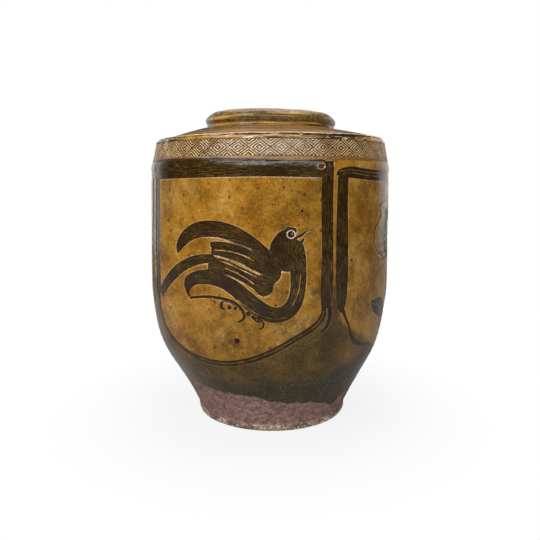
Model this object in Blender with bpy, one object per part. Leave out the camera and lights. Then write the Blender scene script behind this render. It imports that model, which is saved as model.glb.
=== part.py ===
"""Stoneware storage jar, modelled as the potter makes it.

The jar is seven turned or rolled pieces of clay, luted to each other with slip and fired as one:
a base slab, a flared lower wall, the panel wall, the band ring, a clay coil pressed into the
shoulder's seam, the shoulder plate and the neck ring with its rolled rim.

Metres, +Z up. The origin is the centre of the base, and the jar's front looks along -Y.
Each piece is an outline in (radius, height), turned about Z. Its height 0 is its own seat.
"""

import math

import bmesh
import bpy

MM = 0.001

# Heights of the pieces, from the ground up. Together they are the height of the jar.
BASE_THICKNESS = 12 * MM
LOWER_WALL_HEIGHT = 128 * MM
PANEL_WALL_HEIGHT = 213.5 * MM
BAND_HEIGHT = 24.5 * MM
SHOULDER_RISE = 24.5 * MM
RIM_HEIGHT = 17.5 * MM

# Outer radii, from the ground up.
FOOT_RADIUS = 107 * MM
SEAM_RADIUS = 162.8 * MM
BELLY_RADIUS = 167.5 * MM
WALL_TOP_RADIUS = 165 * MM
BAND_FOOT_RADIUS = 163.2 * MM
NECK_RADIUS = 88 * MM
RIM_RADIUS = 90.2 * MM
MOUTH_RADIUS = 74 * MM

# Thickness of the clay, measured level across the walls and upright through the shoulder.
LOWER_WALL = 11 * MM
PANEL_WALL = 9.5 * MM
BAND_WALL = 9.5 * MM
SHOULDER_THICKNESS = 9 * MM
COLLAR_WALL = 4 * MM

# Joints between the pieces. The lute is the film of slip that each joint is closed with.
LUTE = 0.3 * MM
SCARF_RISE = 5 * MM
FLOOR_RISE = 2 * MM
SHOULDER_SPIGOT = 3 * MM
COLLAR_SPIGOT = 7 * MM

# Smaller features of the outline.
BAND_LEAN = 5 * MM
FOOT_WEAR_HEIGHT = 8 * MM
FOOT_WEAR_DEPTH = 3.4 * MM
BELLY_RISE = 54 * MM
WALL_EDGE_HEIGHT = 9 * MM
COIL_RADIUS = 1.6 * MM
COIL_PROUD = 1.4 * MM
LIP_UNDERCUT_RISE = 2.9 * MM
LIP_BEAD = 3 * MM
LIP_DIP = 0.7 * MM
NECK_FILLET = 3 * MM
NECK_UPRIGHT = 2 * MM
RIM_BULGE_RISE = 7.5 * MM
RIM_LAND_RADIUS = 80.2 * MM
RIM_LAND = 3.6 * MM

# The stamped band. The bare strip below it is what the stamp leaves of the ring's foot.
LOZENGES = 40
STAMP_FOOT = 5.6 * MM
STAMP_MARGIN = 0.5 * MM
STAMP_DEPTH = 0.9 * MM

# Across a lozenge from its edge to its middle: share of the way in, and share of the stamp's depth.
STAMP_SHARES = ((0, 1), (0.16, 0), (0.42, 1), (0.66, 0), (0.85, 1), (1, 0))

# How far the lip leans out over its undercut, as a share of the undercut's rise.
LIP_LEAN_SHARE = 0.2

# Handles of the outline's curves, as shares of the box from a curve's start to its end.
FOOT_WEAR_SHARES = ((0.55, 0.05), (0.95, 0.45))
FLARE_SHARES = ((0.60, 0.60), (0.86, 0.58))
SWELL_SHARES = ((0.60, 0.36), (1.0, 0.71))
UPRIGHT_SHARES = ((0.0, 0.32), (0.80, 0.66))
WALL_EDGE_SHARES = ((0.05, 0.55), (0.55, 0.95))
DOME_SHARES = ((0.30, 0.40), (0.67, 0.73))
NECK_FILLET_SHARES = ((0.75, 0.05), (1.0, 0.45))
RIM_UNDER_SHARES = ((0.60, 0.20), (1.0, 0.60))
RIM_BACK_SHARES = ((0.02, 0.30), (0.62, 0.76))
RIM_MOUTH_SHARES = ((0.60, 0.05), (1.0, 0.50))

# How finely the round forms are cut into flats.
SEGMENTS = 60
CURVE_STEPS = 7
EDGE_STEPS = 3
DOME_STEPS = 4
COIL_STEPS = 6
BEAD_STEPS = 3
ROLL_STEPS = 5

# Corners this near each other are one corner.
MERGE_REACH = 0.01 * MM

RIGHT_ANGLE = math.radians(90)
GROOVE_SLOPE = math.radians(45)

AMBER_GLAZE = {"name": "amber_glaze", "color": (0.30, 0.155, 0.036, 1), "roughness": 0.22}
DARK_GLAZE = {"name": "dark_glaze", "color": (0.075, 0.050, 0.022, 1), "roughness": 0.25}
STREAKED_GLAZE = {"name": "streaked_glaze", "color": (0.19, 0.115, 0.042, 1), "roughness": 0.2}
BARE_STONEWARE = {"name": "bare_stoneware", "color": (0.155, 0.092, 0.078, 1), "roughness": 0.8}


def curve(start, end, handle_shares, steps):
    """Points of a cubic curve from start to end, both included, for an outline in (radius, height)."""
    span = (end[0] - start[0], end[1] - start[1])
    first, second = [
        (start[0] + share[0] * span[0], start[1] + share[1] * span[1]) for share in handle_shares
    ]
    points = []
    for step in range(steps + 1):
        t = step / steps
        weights = ((1 - t) ** 3, 3 * t * (1 - t) ** 2, 3 * t * t * (1 - t), t**3)
        points.append(
            tuple(
                sum(w * p[axis] for w, p in zip(weights, (start, first, second, end)))
                for axis in (0, 1)
            )
        )
    return points


def arc(centre, radii, first_angle, last_angle, steps):
    """Points of an arc about centre, from first_angle to last_angle, both included."""
    turn = (last_angle - first_angle) / steps
    return [
        (
            centre[0] + radii[0] * math.cos(first_angle + step * turn),
            centre[1] + radii[1] * math.sin(first_angle + step * turn),
        )
        for step in range(steps + 1)
    ]


def moved(points, inward=0.0, up=0.0):
    """The same points, nearer the jar's axis by inward and higher by up."""
    return [(radius - inward, height + up) for radius, height in points]


def band_top_radius():
    """The band ring's outer radius at its top, where it has leaned in from its foot."""
    return BAND_FOOT_RADIUS - BAND_LEAN


def groove_apex():
    """How far from the axis the shoulder's seam is cut in, for the coil to be pressed into."""
    return coil_centre() - (COIL_RADIUS + LUTE) / math.sin(GROOVE_SLOPE)


def groove_corner():
    """Where that cut leaves the band ring's outer face, as (radius, height)."""
    lean = BAND_LEAN / BAND_HEIGHT
    radius = (BAND_FOOT_RADIUS - lean * (BAND_HEIGHT + groove_apex())) / (1 - lean)
    return (radius, BAND_HEIGHT - (radius - groove_apex()))


def stamp_height():
    """How tall the stamps are, with a plain margin left between them and the groove."""
    return groove_corner()[1] - STAMP_MARGIN - STAMP_FOOT


def coil_centre():
    """How far from the axis the middle of the seam coil lies."""
    return band_top_radius() + COIL_PROUD - COIL_RADIUS


def base_slab_outline():
    """A round slab with a worn bottom edge and a floor that stands up inside the lower wall."""
    worn = curve(
        (FOOT_RADIUS - FOOT_WEAR_DEPTH, 0),
        (FOOT_RADIUS, FOOT_WEAR_HEIGHT),
        FOOT_WEAR_SHARES,
        EDGE_STEPS,
    )
    floor_radius = FOOT_RADIUS - LOWER_WALL - LUTE
    floor_height = BASE_THICKNESS + FLOOR_RISE
    return [
        (0, 0),
        *worn,
        (FOOT_RADIUS, BASE_THICKNESS),
        (floor_radius, BASE_THICKNESS),
        (floor_radius - FLOOR_RISE, floor_height),
        (0, floor_height),
    ]


def lower_wall_outline():
    """The flare from the foot to the seam, with a scarf at its top that the panel wall sits on."""
    outer = curve(
        (FOOT_RADIUS, LUTE), (SEAM_RADIUS, LOWER_WALL_HEIGHT), FLARE_SHARES, CURVE_STEPS
    )
    inner = curve(
        (FOOT_RADIUS - LOWER_WALL, LUTE),
        (SEAM_RADIUS - PANEL_WALL, LOWER_WALL_HEIGHT + SCARF_RISE),
        FLARE_SHARES,
        CURVE_STEPS,
    )
    return [*outer, *reversed(inner)]


def panel_wall_outline():
    """The swell of the belly and the nearly upright wall that carries the painted panels."""
    edge_foot = PANEL_WALL_HEIGHT - WALL_EDGE_HEIGHT
    swell = curve((SEAM_RADIUS, 0), (BELLY_RADIUS, BELLY_RISE), SWELL_SHARES, EDGE_STEPS)
    upright = curve(
        (BELLY_RADIUS, BELLY_RISE), (WALL_TOP_RADIUS, edge_foot), UPRIGHT_SHARES, EDGE_STEPS
    )
    edge = curve(
        (WALL_TOP_RADIUS, edge_foot),
        (BAND_FOOT_RADIUS, PANEL_WALL_HEIGHT),
        WALL_EDGE_SHARES,
        EDGE_STEPS,
    )
    outer = [(SEAM_RADIUS, LUTE), *swell[1:], *upright[1:], *edge[1:]]
    inside = moved([*swell[1:], *upright[1:]], inward=PANEL_WALL)
    inner = [
        (SEAM_RADIUS - PANEL_WALL, SCARF_RISE + LUTE),
        *[point for point in inside if point[1] > SCARF_RISE + PANEL_WALL],
        (BAND_FOOT_RADIUS - BAND_WALL, PANEL_WALL_HEIGHT + SCARF_RISE),
    ]
    return [*outer, *reversed(inner)]


def band_ring_outline():
    """The ring that leans in above the wall and carries the stamped band."""
    return [
        (BAND_FOOT_RADIUS, LUTE),
        groove_corner(),
        (groove_apex(), BAND_HEIGHT),
        (band_top_radius() - BAND_WALL, BAND_HEIGHT),
        (BAND_FOOT_RADIUS - BAND_WALL, SCARF_RISE + LUTE),
    ]


def seam_coil_outline():
    """A roll of clay pressed into the groove under the shoulder's edge, pointed where it is pressed."""
    wedge = math.pi - GROOVE_SLOPE
    rounded = arc((coil_centre(), 0), (COIL_RADIUS, COIL_RADIUS), -wedge, wedge, COIL_STEPS)
    return [*rounded, (groove_apex() + LUTE / math.sin(GROOVE_SLOPE), 0)]


def shoulder_outline():
    """The low dome from the lip to the neck, with a spigot that drops inside the band ring."""
    apex = groove_apex()
    lip_radius = apex + LIP_LEAN_SHARE * LIP_UNDERCUT_RISE
    bead_centre = (lip_radius - LIP_BEAD, LIP_UNDERCUT_RISE)
    bead = arc(bead_centre, (LIP_BEAD, LIP_BEAD), 0, RIGHT_ANGLE, BEAD_STEPS)
    bore = MOUTH_RADIUS + COLLAR_WALL + LUTE
    edge = (bead_centre[0] - LIP_BEAD, LIP_UNDERCUT_RISE + LIP_BEAD - LIP_DIP)
    neck_foot = (NECK_RADIUS + NECK_FILLET, SHOULDER_RISE - NECK_FILLET)
    dome = curve(edge, neck_foot, DOME_SHARES, DOME_STEPS)
    fillet = curve(neck_foot, (NECK_RADIUS, SHOULDER_RISE), NECK_FILLET_SHARES, EDGE_STEPS)
    spigot_radius = band_top_radius() - BAND_WALL - LUTE
    underside = [
        (bore, SHOULDER_RISE - SHOULDER_THICKNESS),
        *moved(reversed(dome[1:-1]), up=-SHOULDER_THICKNESS),
        (spigot_radius - SHOULDER_SPIGOT, -SHOULDER_SPIGOT),
        (spigot_radius, LUTE),
        (apex, LUTE),
    ]
    return [*bead, *dome, *fillet[1:], (bore, SHOULDER_RISE), *underside]


def neck_ring_outline():
    """The collar and the fat rolled rim, wiped flat on top, with a spigot inside the shoulder."""
    bulge = (RIM_RADIUS, RIM_BULGE_RISE)
    land_edge = (RIM_LAND_RADIUS, RIM_HEIGHT)
    mouth_edge = (RIM_LAND_RADIUS - RIM_LAND, RIM_HEIGHT)
    below = curve((NECK_RADIUS, NECK_UPRIGHT), bulge, RIM_UNDER_SHARES, EDGE_STEPS)
    above = curve(bulge, land_edge, RIM_BACK_SHARES, ROLL_STEPS)
    inner = curve(mouth_edge, (MOUTH_RADIUS, RIM_BULGE_RISE), RIM_MOUTH_SHARES, EDGE_STEPS)
    return [
        (NECK_RADIUS, LUTE),
        *below,
        *above[1:],
        *inner,
        (MOUTH_RADIUS, -COLLAR_SPIGOT),
        (MOUTH_RADIUS + COLLAR_WALL, -COLLAR_SPIGOT),
        (MOUTH_RADIUS + COLLAR_WALL, LUTE),
    ]


def spin_outline(shape, outline, closed, segments):
    """Spins an outline in (radius, height) about Z, as faces of shape."""
    corners = [shape.verts.new((radius, 0, height)) for radius, height in outline]
    followers = corners[1:] + (corners[:1] if closed else [])
    edges = [shape.edges.new(pair) for pair in zip(corners, followers)]
    bmesh.ops.spin(
        shape,
        geom=[*corners, *edges],
        cent=(0, 0, 0),
        axis=(0, 0, 1),
        angle=math.tau,
        steps=segments,
        use_merge=True,
    )


def finished_mesh(shape, name):
    """The mesh of a closed shape, its doubles merged and its faces turned outwards."""
    bmesh.ops.remove_doubles(shape, verts=shape.verts, dist=MERGE_REACH)
    bmesh.ops.triangulate(shape, faces=shape.faces)
    bmesh.ops.recalc_face_normals(shape, faces=shape.faces)
    mesh = bpy.data.meshes.new(name)
    shape.to_mesh(mesh)
    shape.free()
    mesh.shade_smooth()
    mesh.set_sharp_from_angle(angle=GROOVE_SLOPE)
    return mesh


def turned_mesh(name, outline, closed=True):
    """A turned piece. An open outline starts and ends on the axis."""
    shape = bmesh.new()
    spin_outline(shape, outline, closed, SEGMENTS)
    return finished_mesh(shape, name)


def around(radius, turn, height):
    """The point at radius and height, so many lozenges round the ring from +X."""
    angle = turn * math.tau / LOZENGES
    return (radius * math.cos(angle), radius * math.sin(angle), height)


def stamp_point(turn, up, depth_share):
    """A point of the stamped face: turn counts lozenges round the ring, up is a share of its height."""
    height = STAMP_FOOT + up * stamp_height()
    face_radius = BAND_FOOT_RADIUS - BAND_LEAN * height / BAND_HEIGHT
    return around(face_radius - depth_share * STAMP_DEPTH, turn, height)


def stamp_quarter(shape, centre, across, upward):
    """A quarter of one lozenge: ridges and grooves that run from its level tip to its upright tip.

    centre is (turn, up). across and upward are 1 or -1, towards the two tips.
    """
    turn, up = centre
    level, upright = [], []
    for way_in, depth_share in STAMP_SHARES:
        reach = (1 - way_in) / 2
        level.append(stamp_point(turn + across * reach, up, depth_share))
        upright.append(stamp_point(turn, up + upward * reach, depth_share))
    for step in range(len(STAMP_SHARES) - 1):
        ring = [level[step], upright[step], upright[step + 1], level[step + 1]]
        if step + 2 == len(STAMP_SHARES):
            ring.pop()
        shape.faces.new([shape.verts.new(point) for point in ring])


def stamp_border(up):
    """The loop the stamps end in, at up, as a list of (turn, point) once round the ring."""
    places = []
    for turn in range(LOZENGES):
        places += [(turn + (1 - way_in) / 2, depth) for way_in, depth in reversed(STAMP_SHARES)]
        places += [(turn + (1 + way_in) / 2, depth) for way_in, depth in STAMP_SHARES[1:-1]]
    places.append((LOZENGES, places[0][1]))
    return [(turn, stamp_point(turn, up, depth)) for turn, depth in places]


def ring_edge(corner):
    """The loop that a corner of the ring's outline is spun to, as a list of (turn, point)."""
    turns = [step * LOZENGES / SEGMENTS for step in range(SEGMENTS + 1)]
    return [(turn, around(corner[0], turn, corner[1])) for turn in turns]


def plain_strip(shape, border, edge):
    """Closes the plain strip between two loops, taking the next corner round from either."""
    inner = outer = 0
    while inner + 1 < len(border) or outer + 1 < len(edge):
        corners = [border[inner], edge[outer]]
        edge_is_next = inner + 1 == len(border) or (
            outer + 1 < len(edge) and edge[outer + 1][0] < border[inner + 1][0]
        )
        if edge_is_next:
            outer += 1
            corners.append(edge[outer])
        else:
            inner += 1
            corners.append(border[inner])
        shape.faces.new([shape.verts.new(point) for _, point in corners])


def stamped_mesh(name, outline):
    """A ring whose first outline side, its outer face, is stamped with lozenges all the way round."""
    shape = bmesh.new()
    spin_outline(shape, [*outline[1:], outline[0]], False, SEGMENTS)
    plain_strip(shape, stamp_border(0), ring_edge(outline[0]))
    plain_strip(shape, stamp_border(1), ring_edge(outline[1]))
    for turn in range(LOZENGES):
        for across in (-1, 1):
            for upward in (-1, 1):
                middle = (turn + 1 / 2, 1 / 2)
                corner = (middle[0] + across / 2, middle[1] + upward / 2)
                stamp_quarter(shape, middle, across, upward)
                stamp_quarter(shape, corner, -across, -upward)
    return finished_mesh(shape, name)


def finish_material(finish):
    """The Principled material for one finish, made once and shared by its pieces."""
    material = bpy.data.materials.get(finish["name"])
    if material:
        return material
    material = bpy.data.materials.new(finish["name"])
    material.use_nodes = True
    shader = material.node_tree.nodes["Principled BSDF"]
    shader.inputs["Base Color"].default_value = finish["color"]
    shader.inputs["Roughness"].default_value = finish["roughness"]
    shader.inputs["Metallic"].default_value = 0
    material.diffuse_color = finish["color"]
    return material


def place(name, mesh, seat, finish, jar):
    """Sets a piece on its seat, so many metres above the ground, as part of the jar."""
    mesh.materials.append(finish_material(finish))
    piece = bpy.data.objects.new(name, mesh)
    bpy.context.scene.collection.objects.link(piece)
    piece.parent = jar
    piece.location = (0, 0, seat)
    return piece


def clear_scene():
    """Removes whatever the scene held."""
    for leftover in list(bpy.data.objects):
        bpy.data.objects.remove(leftover)


def build_jar():
    """Builds the seven pieces, each seated on the one below."""
    jar = bpy.data.objects.new("jar", None)
    bpy.context.scene.collection.objects.link(jar)
    lower_seat = BASE_THICKNESS
    panel_seat = lower_seat + LOWER_WALL_HEIGHT
    band_seat = panel_seat + PANEL_WALL_HEIGHT
    shoulder_seat = band_seat + BAND_HEIGHT
    neck_seat = shoulder_seat + SHOULDER_RISE
    slab = turned_mesh("base_slab", base_slab_outline(), closed=False)
    place("base_slab", slab, 0, BARE_STONEWARE, jar)
    band = stamped_mesh("band_ring", band_ring_outline())
    place("band_ring", band, band_seat, AMBER_GLAZE, jar)
    for name, outline, seat, finish in (
        ("lower_wall", lower_wall_outline(), lower_seat, DARK_GLAZE),
        ("panel_wall", panel_wall_outline(), panel_seat, AMBER_GLAZE),
        ("shoulder_seam_coil", seam_coil_outline(), shoulder_seat, STREAKED_GLAZE),
        ("shoulder", shoulder_outline(), shoulder_seat, STREAKED_GLAZE),
        ("neck_ring", neck_ring_outline(), neck_seat, DARK_GLAZE),
    ):
        place(name, turned_mesh(name, outline), seat, finish, jar)


clear_scene()
build_jar()
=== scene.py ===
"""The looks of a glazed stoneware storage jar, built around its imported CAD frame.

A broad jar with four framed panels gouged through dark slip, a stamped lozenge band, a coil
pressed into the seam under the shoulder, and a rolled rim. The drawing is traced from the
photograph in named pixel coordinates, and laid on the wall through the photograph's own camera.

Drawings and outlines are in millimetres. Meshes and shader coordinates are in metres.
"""

from __future__ import annotations

import logging
import math
from dataclasses import dataclass, field
from enum import Enum

import bmesh
import bpy
import numpy as np
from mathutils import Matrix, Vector
from mathutils.geometry import delaunay_2d_cdt


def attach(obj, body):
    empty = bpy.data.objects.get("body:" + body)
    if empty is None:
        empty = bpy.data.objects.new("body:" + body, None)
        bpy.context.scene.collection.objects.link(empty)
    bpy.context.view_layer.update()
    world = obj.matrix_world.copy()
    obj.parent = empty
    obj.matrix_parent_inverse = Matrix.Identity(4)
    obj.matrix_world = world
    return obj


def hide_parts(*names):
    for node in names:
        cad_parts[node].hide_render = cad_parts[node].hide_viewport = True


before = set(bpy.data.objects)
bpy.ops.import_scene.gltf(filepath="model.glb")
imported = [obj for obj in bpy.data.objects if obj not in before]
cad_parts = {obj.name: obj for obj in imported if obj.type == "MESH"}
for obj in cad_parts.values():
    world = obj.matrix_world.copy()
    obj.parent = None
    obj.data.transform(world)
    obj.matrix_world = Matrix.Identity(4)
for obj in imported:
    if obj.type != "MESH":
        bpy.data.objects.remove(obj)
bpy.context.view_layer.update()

MM = 0.001
BODY = "root"
CHART_RADIUS = 166.0
CHART_TURN = math.tau * CHART_RADIUS
PIXELS_PER_MM = 0.695
LOG = logging.getLogger("storage_jar")

Colour = tuple[float, float, float, float]
Pixels = tuple[tuple[float, float], ...]
Socket = bpy.types.NodeSocket
Strewing = tuple[float, float, float, float, float, float, Colour]


def srgb(red: float, green: float, blue: float) -> Colour:
    """The linear colour of an sRGB colour whose channels run to 255."""
    channels = [channel / 255 for channel in (red, green, blue)]
    linear = [c / 12.92 if c <= 0.04045 else ((c + 0.055) / 1.055) ** 2.4 for c in channels]
    return (*linear, 1.0)


def smooth_step(values: np.ndarray, low: float, high: float) -> np.ndarray:
    """Eases values from 0 at low to 1 at high."""
    share = np.clip((values - low) / (high - low), 0, 1)
    return share * share * (3 - 2 * share)


def cubic(start: Pixels, end: Pixels, handles: Pixels, steps: int) -> np.ndarray:
    """Points of a cubic curve.

    Args:
        start: The first point.
        end: The last point.
        handles: Two handles, as shares of the box from start to end.
        steps: How many steps the curve is cut into.

    Returns:
        The points, start and end included, one to a row.
    """
    start, end, handles = (np.array(part, float) for part in (start, end, handles))
    first, second = start + handles * (end - start)
    t = np.linspace(0, 1, steps + 1)[:, None]
    return (
        (1 - t) ** 3 * start
        + 3 * t * (1 - t) ** 2 * first
        + 3 * t * t * (1 - t) * second
        + t**3 * end
    )


def arc(centre: Pixels, radius: float, first: float, last: float, steps: int) -> np.ndarray:
    """Points of an arc.

    Args:
        centre: The middle of the arc.
        radius: Its radius.
        first: Its first angle, in degrees.
        last: Its last angle, in degrees.
        steps: How many steps it is cut into.

    Returns:
        The points, both ends included, one to a row.
    """
    turn = np.radians(np.linspace(first, last, steps + 1))
    return np.stack([centre[0] + radius * np.cos(turn), centre[1] + radius * np.sin(turn)], 1)


def through(points: np.ndarray, closed: bool, spacing: float) -> np.ndarray:
    """Draws a smooth line through points, and keeps their sharp corners sharp.

    Args:
        points: The points, one to a row.
        closed: Whether the line comes back to its start.
        spacing: The longest step that the line is cut into.

    Returns:
        The line's points, one to a row.
    """
    points = np.asarray(points, float)
    before = np.roll(points, 1, 0) if closed else np.vstack([points[:1], points[:-1]])
    after = np.roll(points, -1, 0) if closed else np.vstack([points[1:], points[-1:]])
    come, go = points - before, after - points
    lengths = np.linalg.norm(come, axis=1) * np.linalg.norm(go, axis=1)
    bend = np.sum(come * go, 1) / np.maximum(lengths, 1e-9)
    tangents = (after - before) / 2 * smooth_step(bend, 0.1, 0.75)[:, None]
    line = []
    for index in range(len(points) if closed else len(points) - 1):
        follower = (index + 1) % len(points)
        reach = np.linalg.norm(points[follower] - points[index])
        steps = max(1, math.ceil(reach / spacing))
        pull = np.array([tangents[index], tangents[follower]])
        size = np.linalg.norm(pull, axis=1, keepdims=True)
        pull *= np.minimum(1, reach / np.maximum(size, 1e-9))
        t = (np.arange(steps) / steps)[:, None]
        line.append(
            (2 * t**3 - 3 * t**2 + 1) * points[index]
            + (t**3 - 2 * t**2 + t) * pull[0]
            + (3 * t**2 - 2 * t**3) * points[follower]
            + (t**3 - t**2) * pull[1]
        )
    if not closed:
        line.append(points[-1:])
    return np.vstack(line)


def lattice_noise(
    across: np.ndarray, height: np.ndarray, cell: tuple[float, float], seed: int
) -> np.ndarray:
    """Smooth noise over the chart, from -1 to 1, which meets itself behind the jar.

    Args:
        across: Places along the chart, in millimetres.
        height: Heights above the ground, in millimetres.
        cell: The noise's cell, along and up.
        seed: The seed of its random values.

    Returns:
        One value for each place.
    """
    columns = max(3, round(CHART_TURN / cell[0]))
    rows = 2 + math.ceil(440 / cell[1])
    values = np.random.default_rng(seed).uniform(-1, 1, (rows, columns))
    u = across / CHART_TURN * columns
    v = np.clip(height / cell[1], 0, rows - 1.001)
    left, low = np.floor(u).astype(int), np.floor(v).astype(int)
    fu, fv = (part * part * (3 - 2 * part) for part in (u - left, v - low))
    left, right = left % columns, (left + 1) % columns
    bottom = values[low, left] * (1 - fu) + values[low, right] * fu
    top = values[low + 1, left] * (1 - fu) + values[low + 1, right] * fu
    return bottom * (1 - fv) + top * fv


@dataclass(frozen=True)
class PhotoCamera:
    """The camera that took the photograph, found from the ellipses of its rim and foot."""

    aside: float = 0.6
    away: float = 843.0
    above: float = 328.8
    pitch: float = math.radians(8.62)
    focal_pixels: float = 586.1
    frame_pixels: float = 540.0
    sensor: float = 36.0

    def sight_lines(self, pixels: np.ndarray) -> tuple[np.ndarray, np.ndarray]:
        """The lines of sight of some pixels.

        Args:
            pixels: Pixel coordinates, one point to a row.

        Returns:
            The camera's place, and for each pixel the step that goes 1 mm forward.
        """
        aside = (pixels[:, 0] - self.frame_pixels / 2) / self.focal_pixels
        up = (self.frame_pixels / 2 - pixels[:, 1]) / self.focal_pixels
        level, steep = math.cos(self.pitch), math.sin(self.pitch)
        steps = np.stack([aside, level + steep * up, level * up - steep], 1)
        return np.array([self.aside, -self.away, self.above]), steps

    def build(self) -> bpy.types.Object:
        """Makes the scene's camera."""
        data = bpy.data.cameras.new("camera")
        data.sensor_width = self.sensor
        data.lens = self.focal_pixels / self.frame_pixels * self.sensor
        camera = bpy.data.objects.new("camera", data)
        camera.location = (self.aside * MM, -self.away * MM, self.above * MM)
        camera.rotation_euler = (math.pi / 2 - self.pitch, 0, 0)
        bpy.context.scene.collection.objects.link(camera)
        bpy.context.scene.camera = camera
        return camera


@dataclass(frozen=True)
class JarForm:
    """The turned form of the jar, in (radius, height), and the lean that it dried with."""

    wall_foot: tuple[float, float] = (107.0, 12.0)
    seam: tuple[float, float] = (162.8, 140.0)
    belly: tuple[float, float] = (167.5, 194.0)
    wall_top: tuple[float, float] = (165.0, 344.5)
    band_foot: tuple[float, float] = (163.2, 353.5)
    band_top: tuple[float, float] = (158.2, 378.0)
    neck: tuple[float, float] = (88.0, 402.5)
    rim_radius: float = 90.2
    height: float = 420.0
    lean: Pixels = (
        (0, 3.0),
        (50, 2.7),
        (80, 1.3),
        (125, -0.7),
        (230, -0.2),
        (335, 0.6),
        (378, 1.4),
        (420, 2.0),
    )
    rim_tilt: float = 0.016
    edge_tilt: float = 0.007

    def wall(self) -> np.ndarray:
        """The outer line of the lower wall and the panel wall, from the foot up."""
        spans = (
            (self.wall_foot, self.seam, ((0.60, 0.60), (0.86, 0.58))),
            (self.seam, self.belly, ((0.60, 0.36), (1.0, 0.71))),
            (self.belly, self.wall_top, ((0.0, 0.32), (0.80, 0.66))),
            (self.wall_top, self.band_foot, ((0.05, 0.55), (0.55, 0.95))),
        )
        lines = [cubic(start, end, handles, 60) for start, end, handles in spans]
        return np.vstack([lines[0], *[line[1:] for line in lines[1:]]])

    def wall_radius(self, height: np.ndarray) -> np.ndarray:
        """The wall's outer radius at some heights."""
        line = self.wall()
        return np.interp(height, line[:, 1], line[:, 0])

    def shift(self, height: np.ndarray) -> np.ndarray:
        """How far the jar's middle lies to the right of the axis at some heights."""
        heights, shifts = np.array(self.lean).T
        around = [np.interp(np.asarray(height) + step, heights, shifts) for step in (-14, 0, 14)]
        return sum(around) / len(around)

    def stand(self, points: np.ndarray) -> np.ndarray:
        """Gives turned points, in metres, the lean of the jar and the tilt of its rim."""
        points = np.array(points, float)
        height = points[:, 2] / MM
        points[:, 0] += self.shift(height) * MM
        points[:, 2] -= points[:, 0] * self.rim_tilt * smooth_step(height, 388, 404)
        edge = smooth_step(height, 379, 384) * smooth_step(-height, -398, -388)
        points[:, 2] += points[:, 0] * self.edge_tilt * edge
        return points

    def chart(self, camera: PhotoCamera, pixels: np.ndarray) -> np.ndarray:
        """Finds where the lines of sight of some pixels meet the wall.

        Args:
            camera: The photograph's camera.
            pixels: Pixel coordinates, one point to a row.

        Returns:
            For each pixel, the place along the chart and the height.
        """
        eye, steps = camera.sight_lines(np.asarray(pixels, float))
        reach = np.linspace(640, 860, 441)
        points = eye + steps[:, None, :] * reach[None, :, None]
        aside = points[..., 0] - self.shift(points[..., 2])
        outside = np.hypot(aside, points[..., 1]) - self.wall_radius(points[..., 2])
        hit = np.argmax(outside < 0, axis=1)
        hit = np.where(np.any(outside < 0, axis=1), hit, np.argmin(outside, axis=1))
        rows = np.arange(len(steps))
        near, far = outside[rows, hit - 1], outside[rows, hit]
        share = np.where(near * far < 0, near / np.where(near == far, 1, near - far), 1.0)
        place = points[rows, hit - 1] * (1 - share[:, None]) + points[rows, hit] * share[:, None]
        turn = np.arctan2(place[:, 0] - self.shift(place[:, 2]), -place[:, 1])
        return np.stack([turn * CHART_RADIUS, place[:, 2]], 1)


@dataclass(frozen=True)
class Enlargement:
    """A part of the photograph that was enlarged to trace from."""

    left: float
    top: float
    zoom: float

    def pixels(self, points: Pixels) -> np.ndarray:
        """The photograph's pixels for points of the enlargement."""
        return np.array([self.left, self.top]) + np.array(points, float) / self.zoom


BIRD_SHEET = Enlargement(150, 205, 8)
SIDE_SHEET = Enlargement(300, 150, 7)
PHOTO_SHEET = Enlargement(0, 0, 1)


class Tool(Enum):
    """What a mark does to the drawing."""

    GOUGE = "cuts the clay away, and dark glaze fills the cut"
    SPARE = "leaves a patch of the ground standing"
    BURR = "leaves a thin burr of clay standing inside a gouge"
    # PALE also paints the small glint in the bird's eye.
    PALE = "lets the glaze pool white over a spared patch"


@dataclass
class Mark:
    """One stroke or patch of a drawing, on the chart.

    A patch has an outline and no widths. A stroke has a middle line, and a half width at each point.
    """

    tool: Tool
    line: np.ndarray
    widths: np.ndarray | None = None
    comb: np.ndarray | None = None

    def moved(self, change: "Placing") -> "Mark":
        """The same mark somewhere else on the jar."""
        comb = None if self.comb is None else change.apply(self.comb)
        return Mark(self.tool, change.apply(self.line), self.widths, comb)

    def reach(self) -> np.ndarray:
        """The lowest and highest corner of the chart that the mark's edge comes near."""
        margin = 8.0 + (0 if self.widths is None else float(self.widths.max()))
        return np.array([self.line.min(0) - margin, self.line.max(0) + margin])

    def distance(self, places: np.ndarray) -> np.ndarray:
        """How far places lie outside the mark's edge, which is negative inside it."""
        if self.widths is None:
            return outline_distance(places, self.line)
        return line_distance(places, self.line, self.widths)[0]

    def edge_rows(self, offsets: tuple[float, ...]) -> np.ndarray:
        """Rows of places along the mark's edge.

        Args:
            offsets: How far outside the edge each row lies.

        Returns:
            The places, one to a row.
        """
        follow = np.roll(self.line, -1, 0) - np.roll(self.line, 1, 0)
        if self.widths is not None:
            follow = np.gradient(self.line, axis=0)
        length = np.maximum(np.linalg.norm(follow, axis=1, keepdims=True), 1e-9)
        side = np.stack([follow[:, 1], -follow[:, 0]], 1) / length
        if self.widths is None:
            area = np.sum(self.line[:, 0] * np.roll(self.line[:, 1], -1))
            area -= np.sum(self.line[:, 1] * np.roll(self.line[:, 0], -1))
            side *= math.copysign(1, area)
            return np.vstack([self.line + side * offset for offset in offsets])
        rows = []
        for offset in offsets:
            width = np.maximum(self.widths + offset, 0.05)[:, None]
            rows += [self.line + side * width, self.line - side * width]
            for end, step in ((0, -1), (-1, 1)):
                turn = np.linspace(-1.2, 1.2, 5) + math.atan2(*(follow[end] * step)[::-1])
                ring = np.stack([np.cos(turn), np.sin(turn)], 1)
                rows.append(self.line[end] + ring * width[end])
        return np.vstack(rows)


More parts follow.
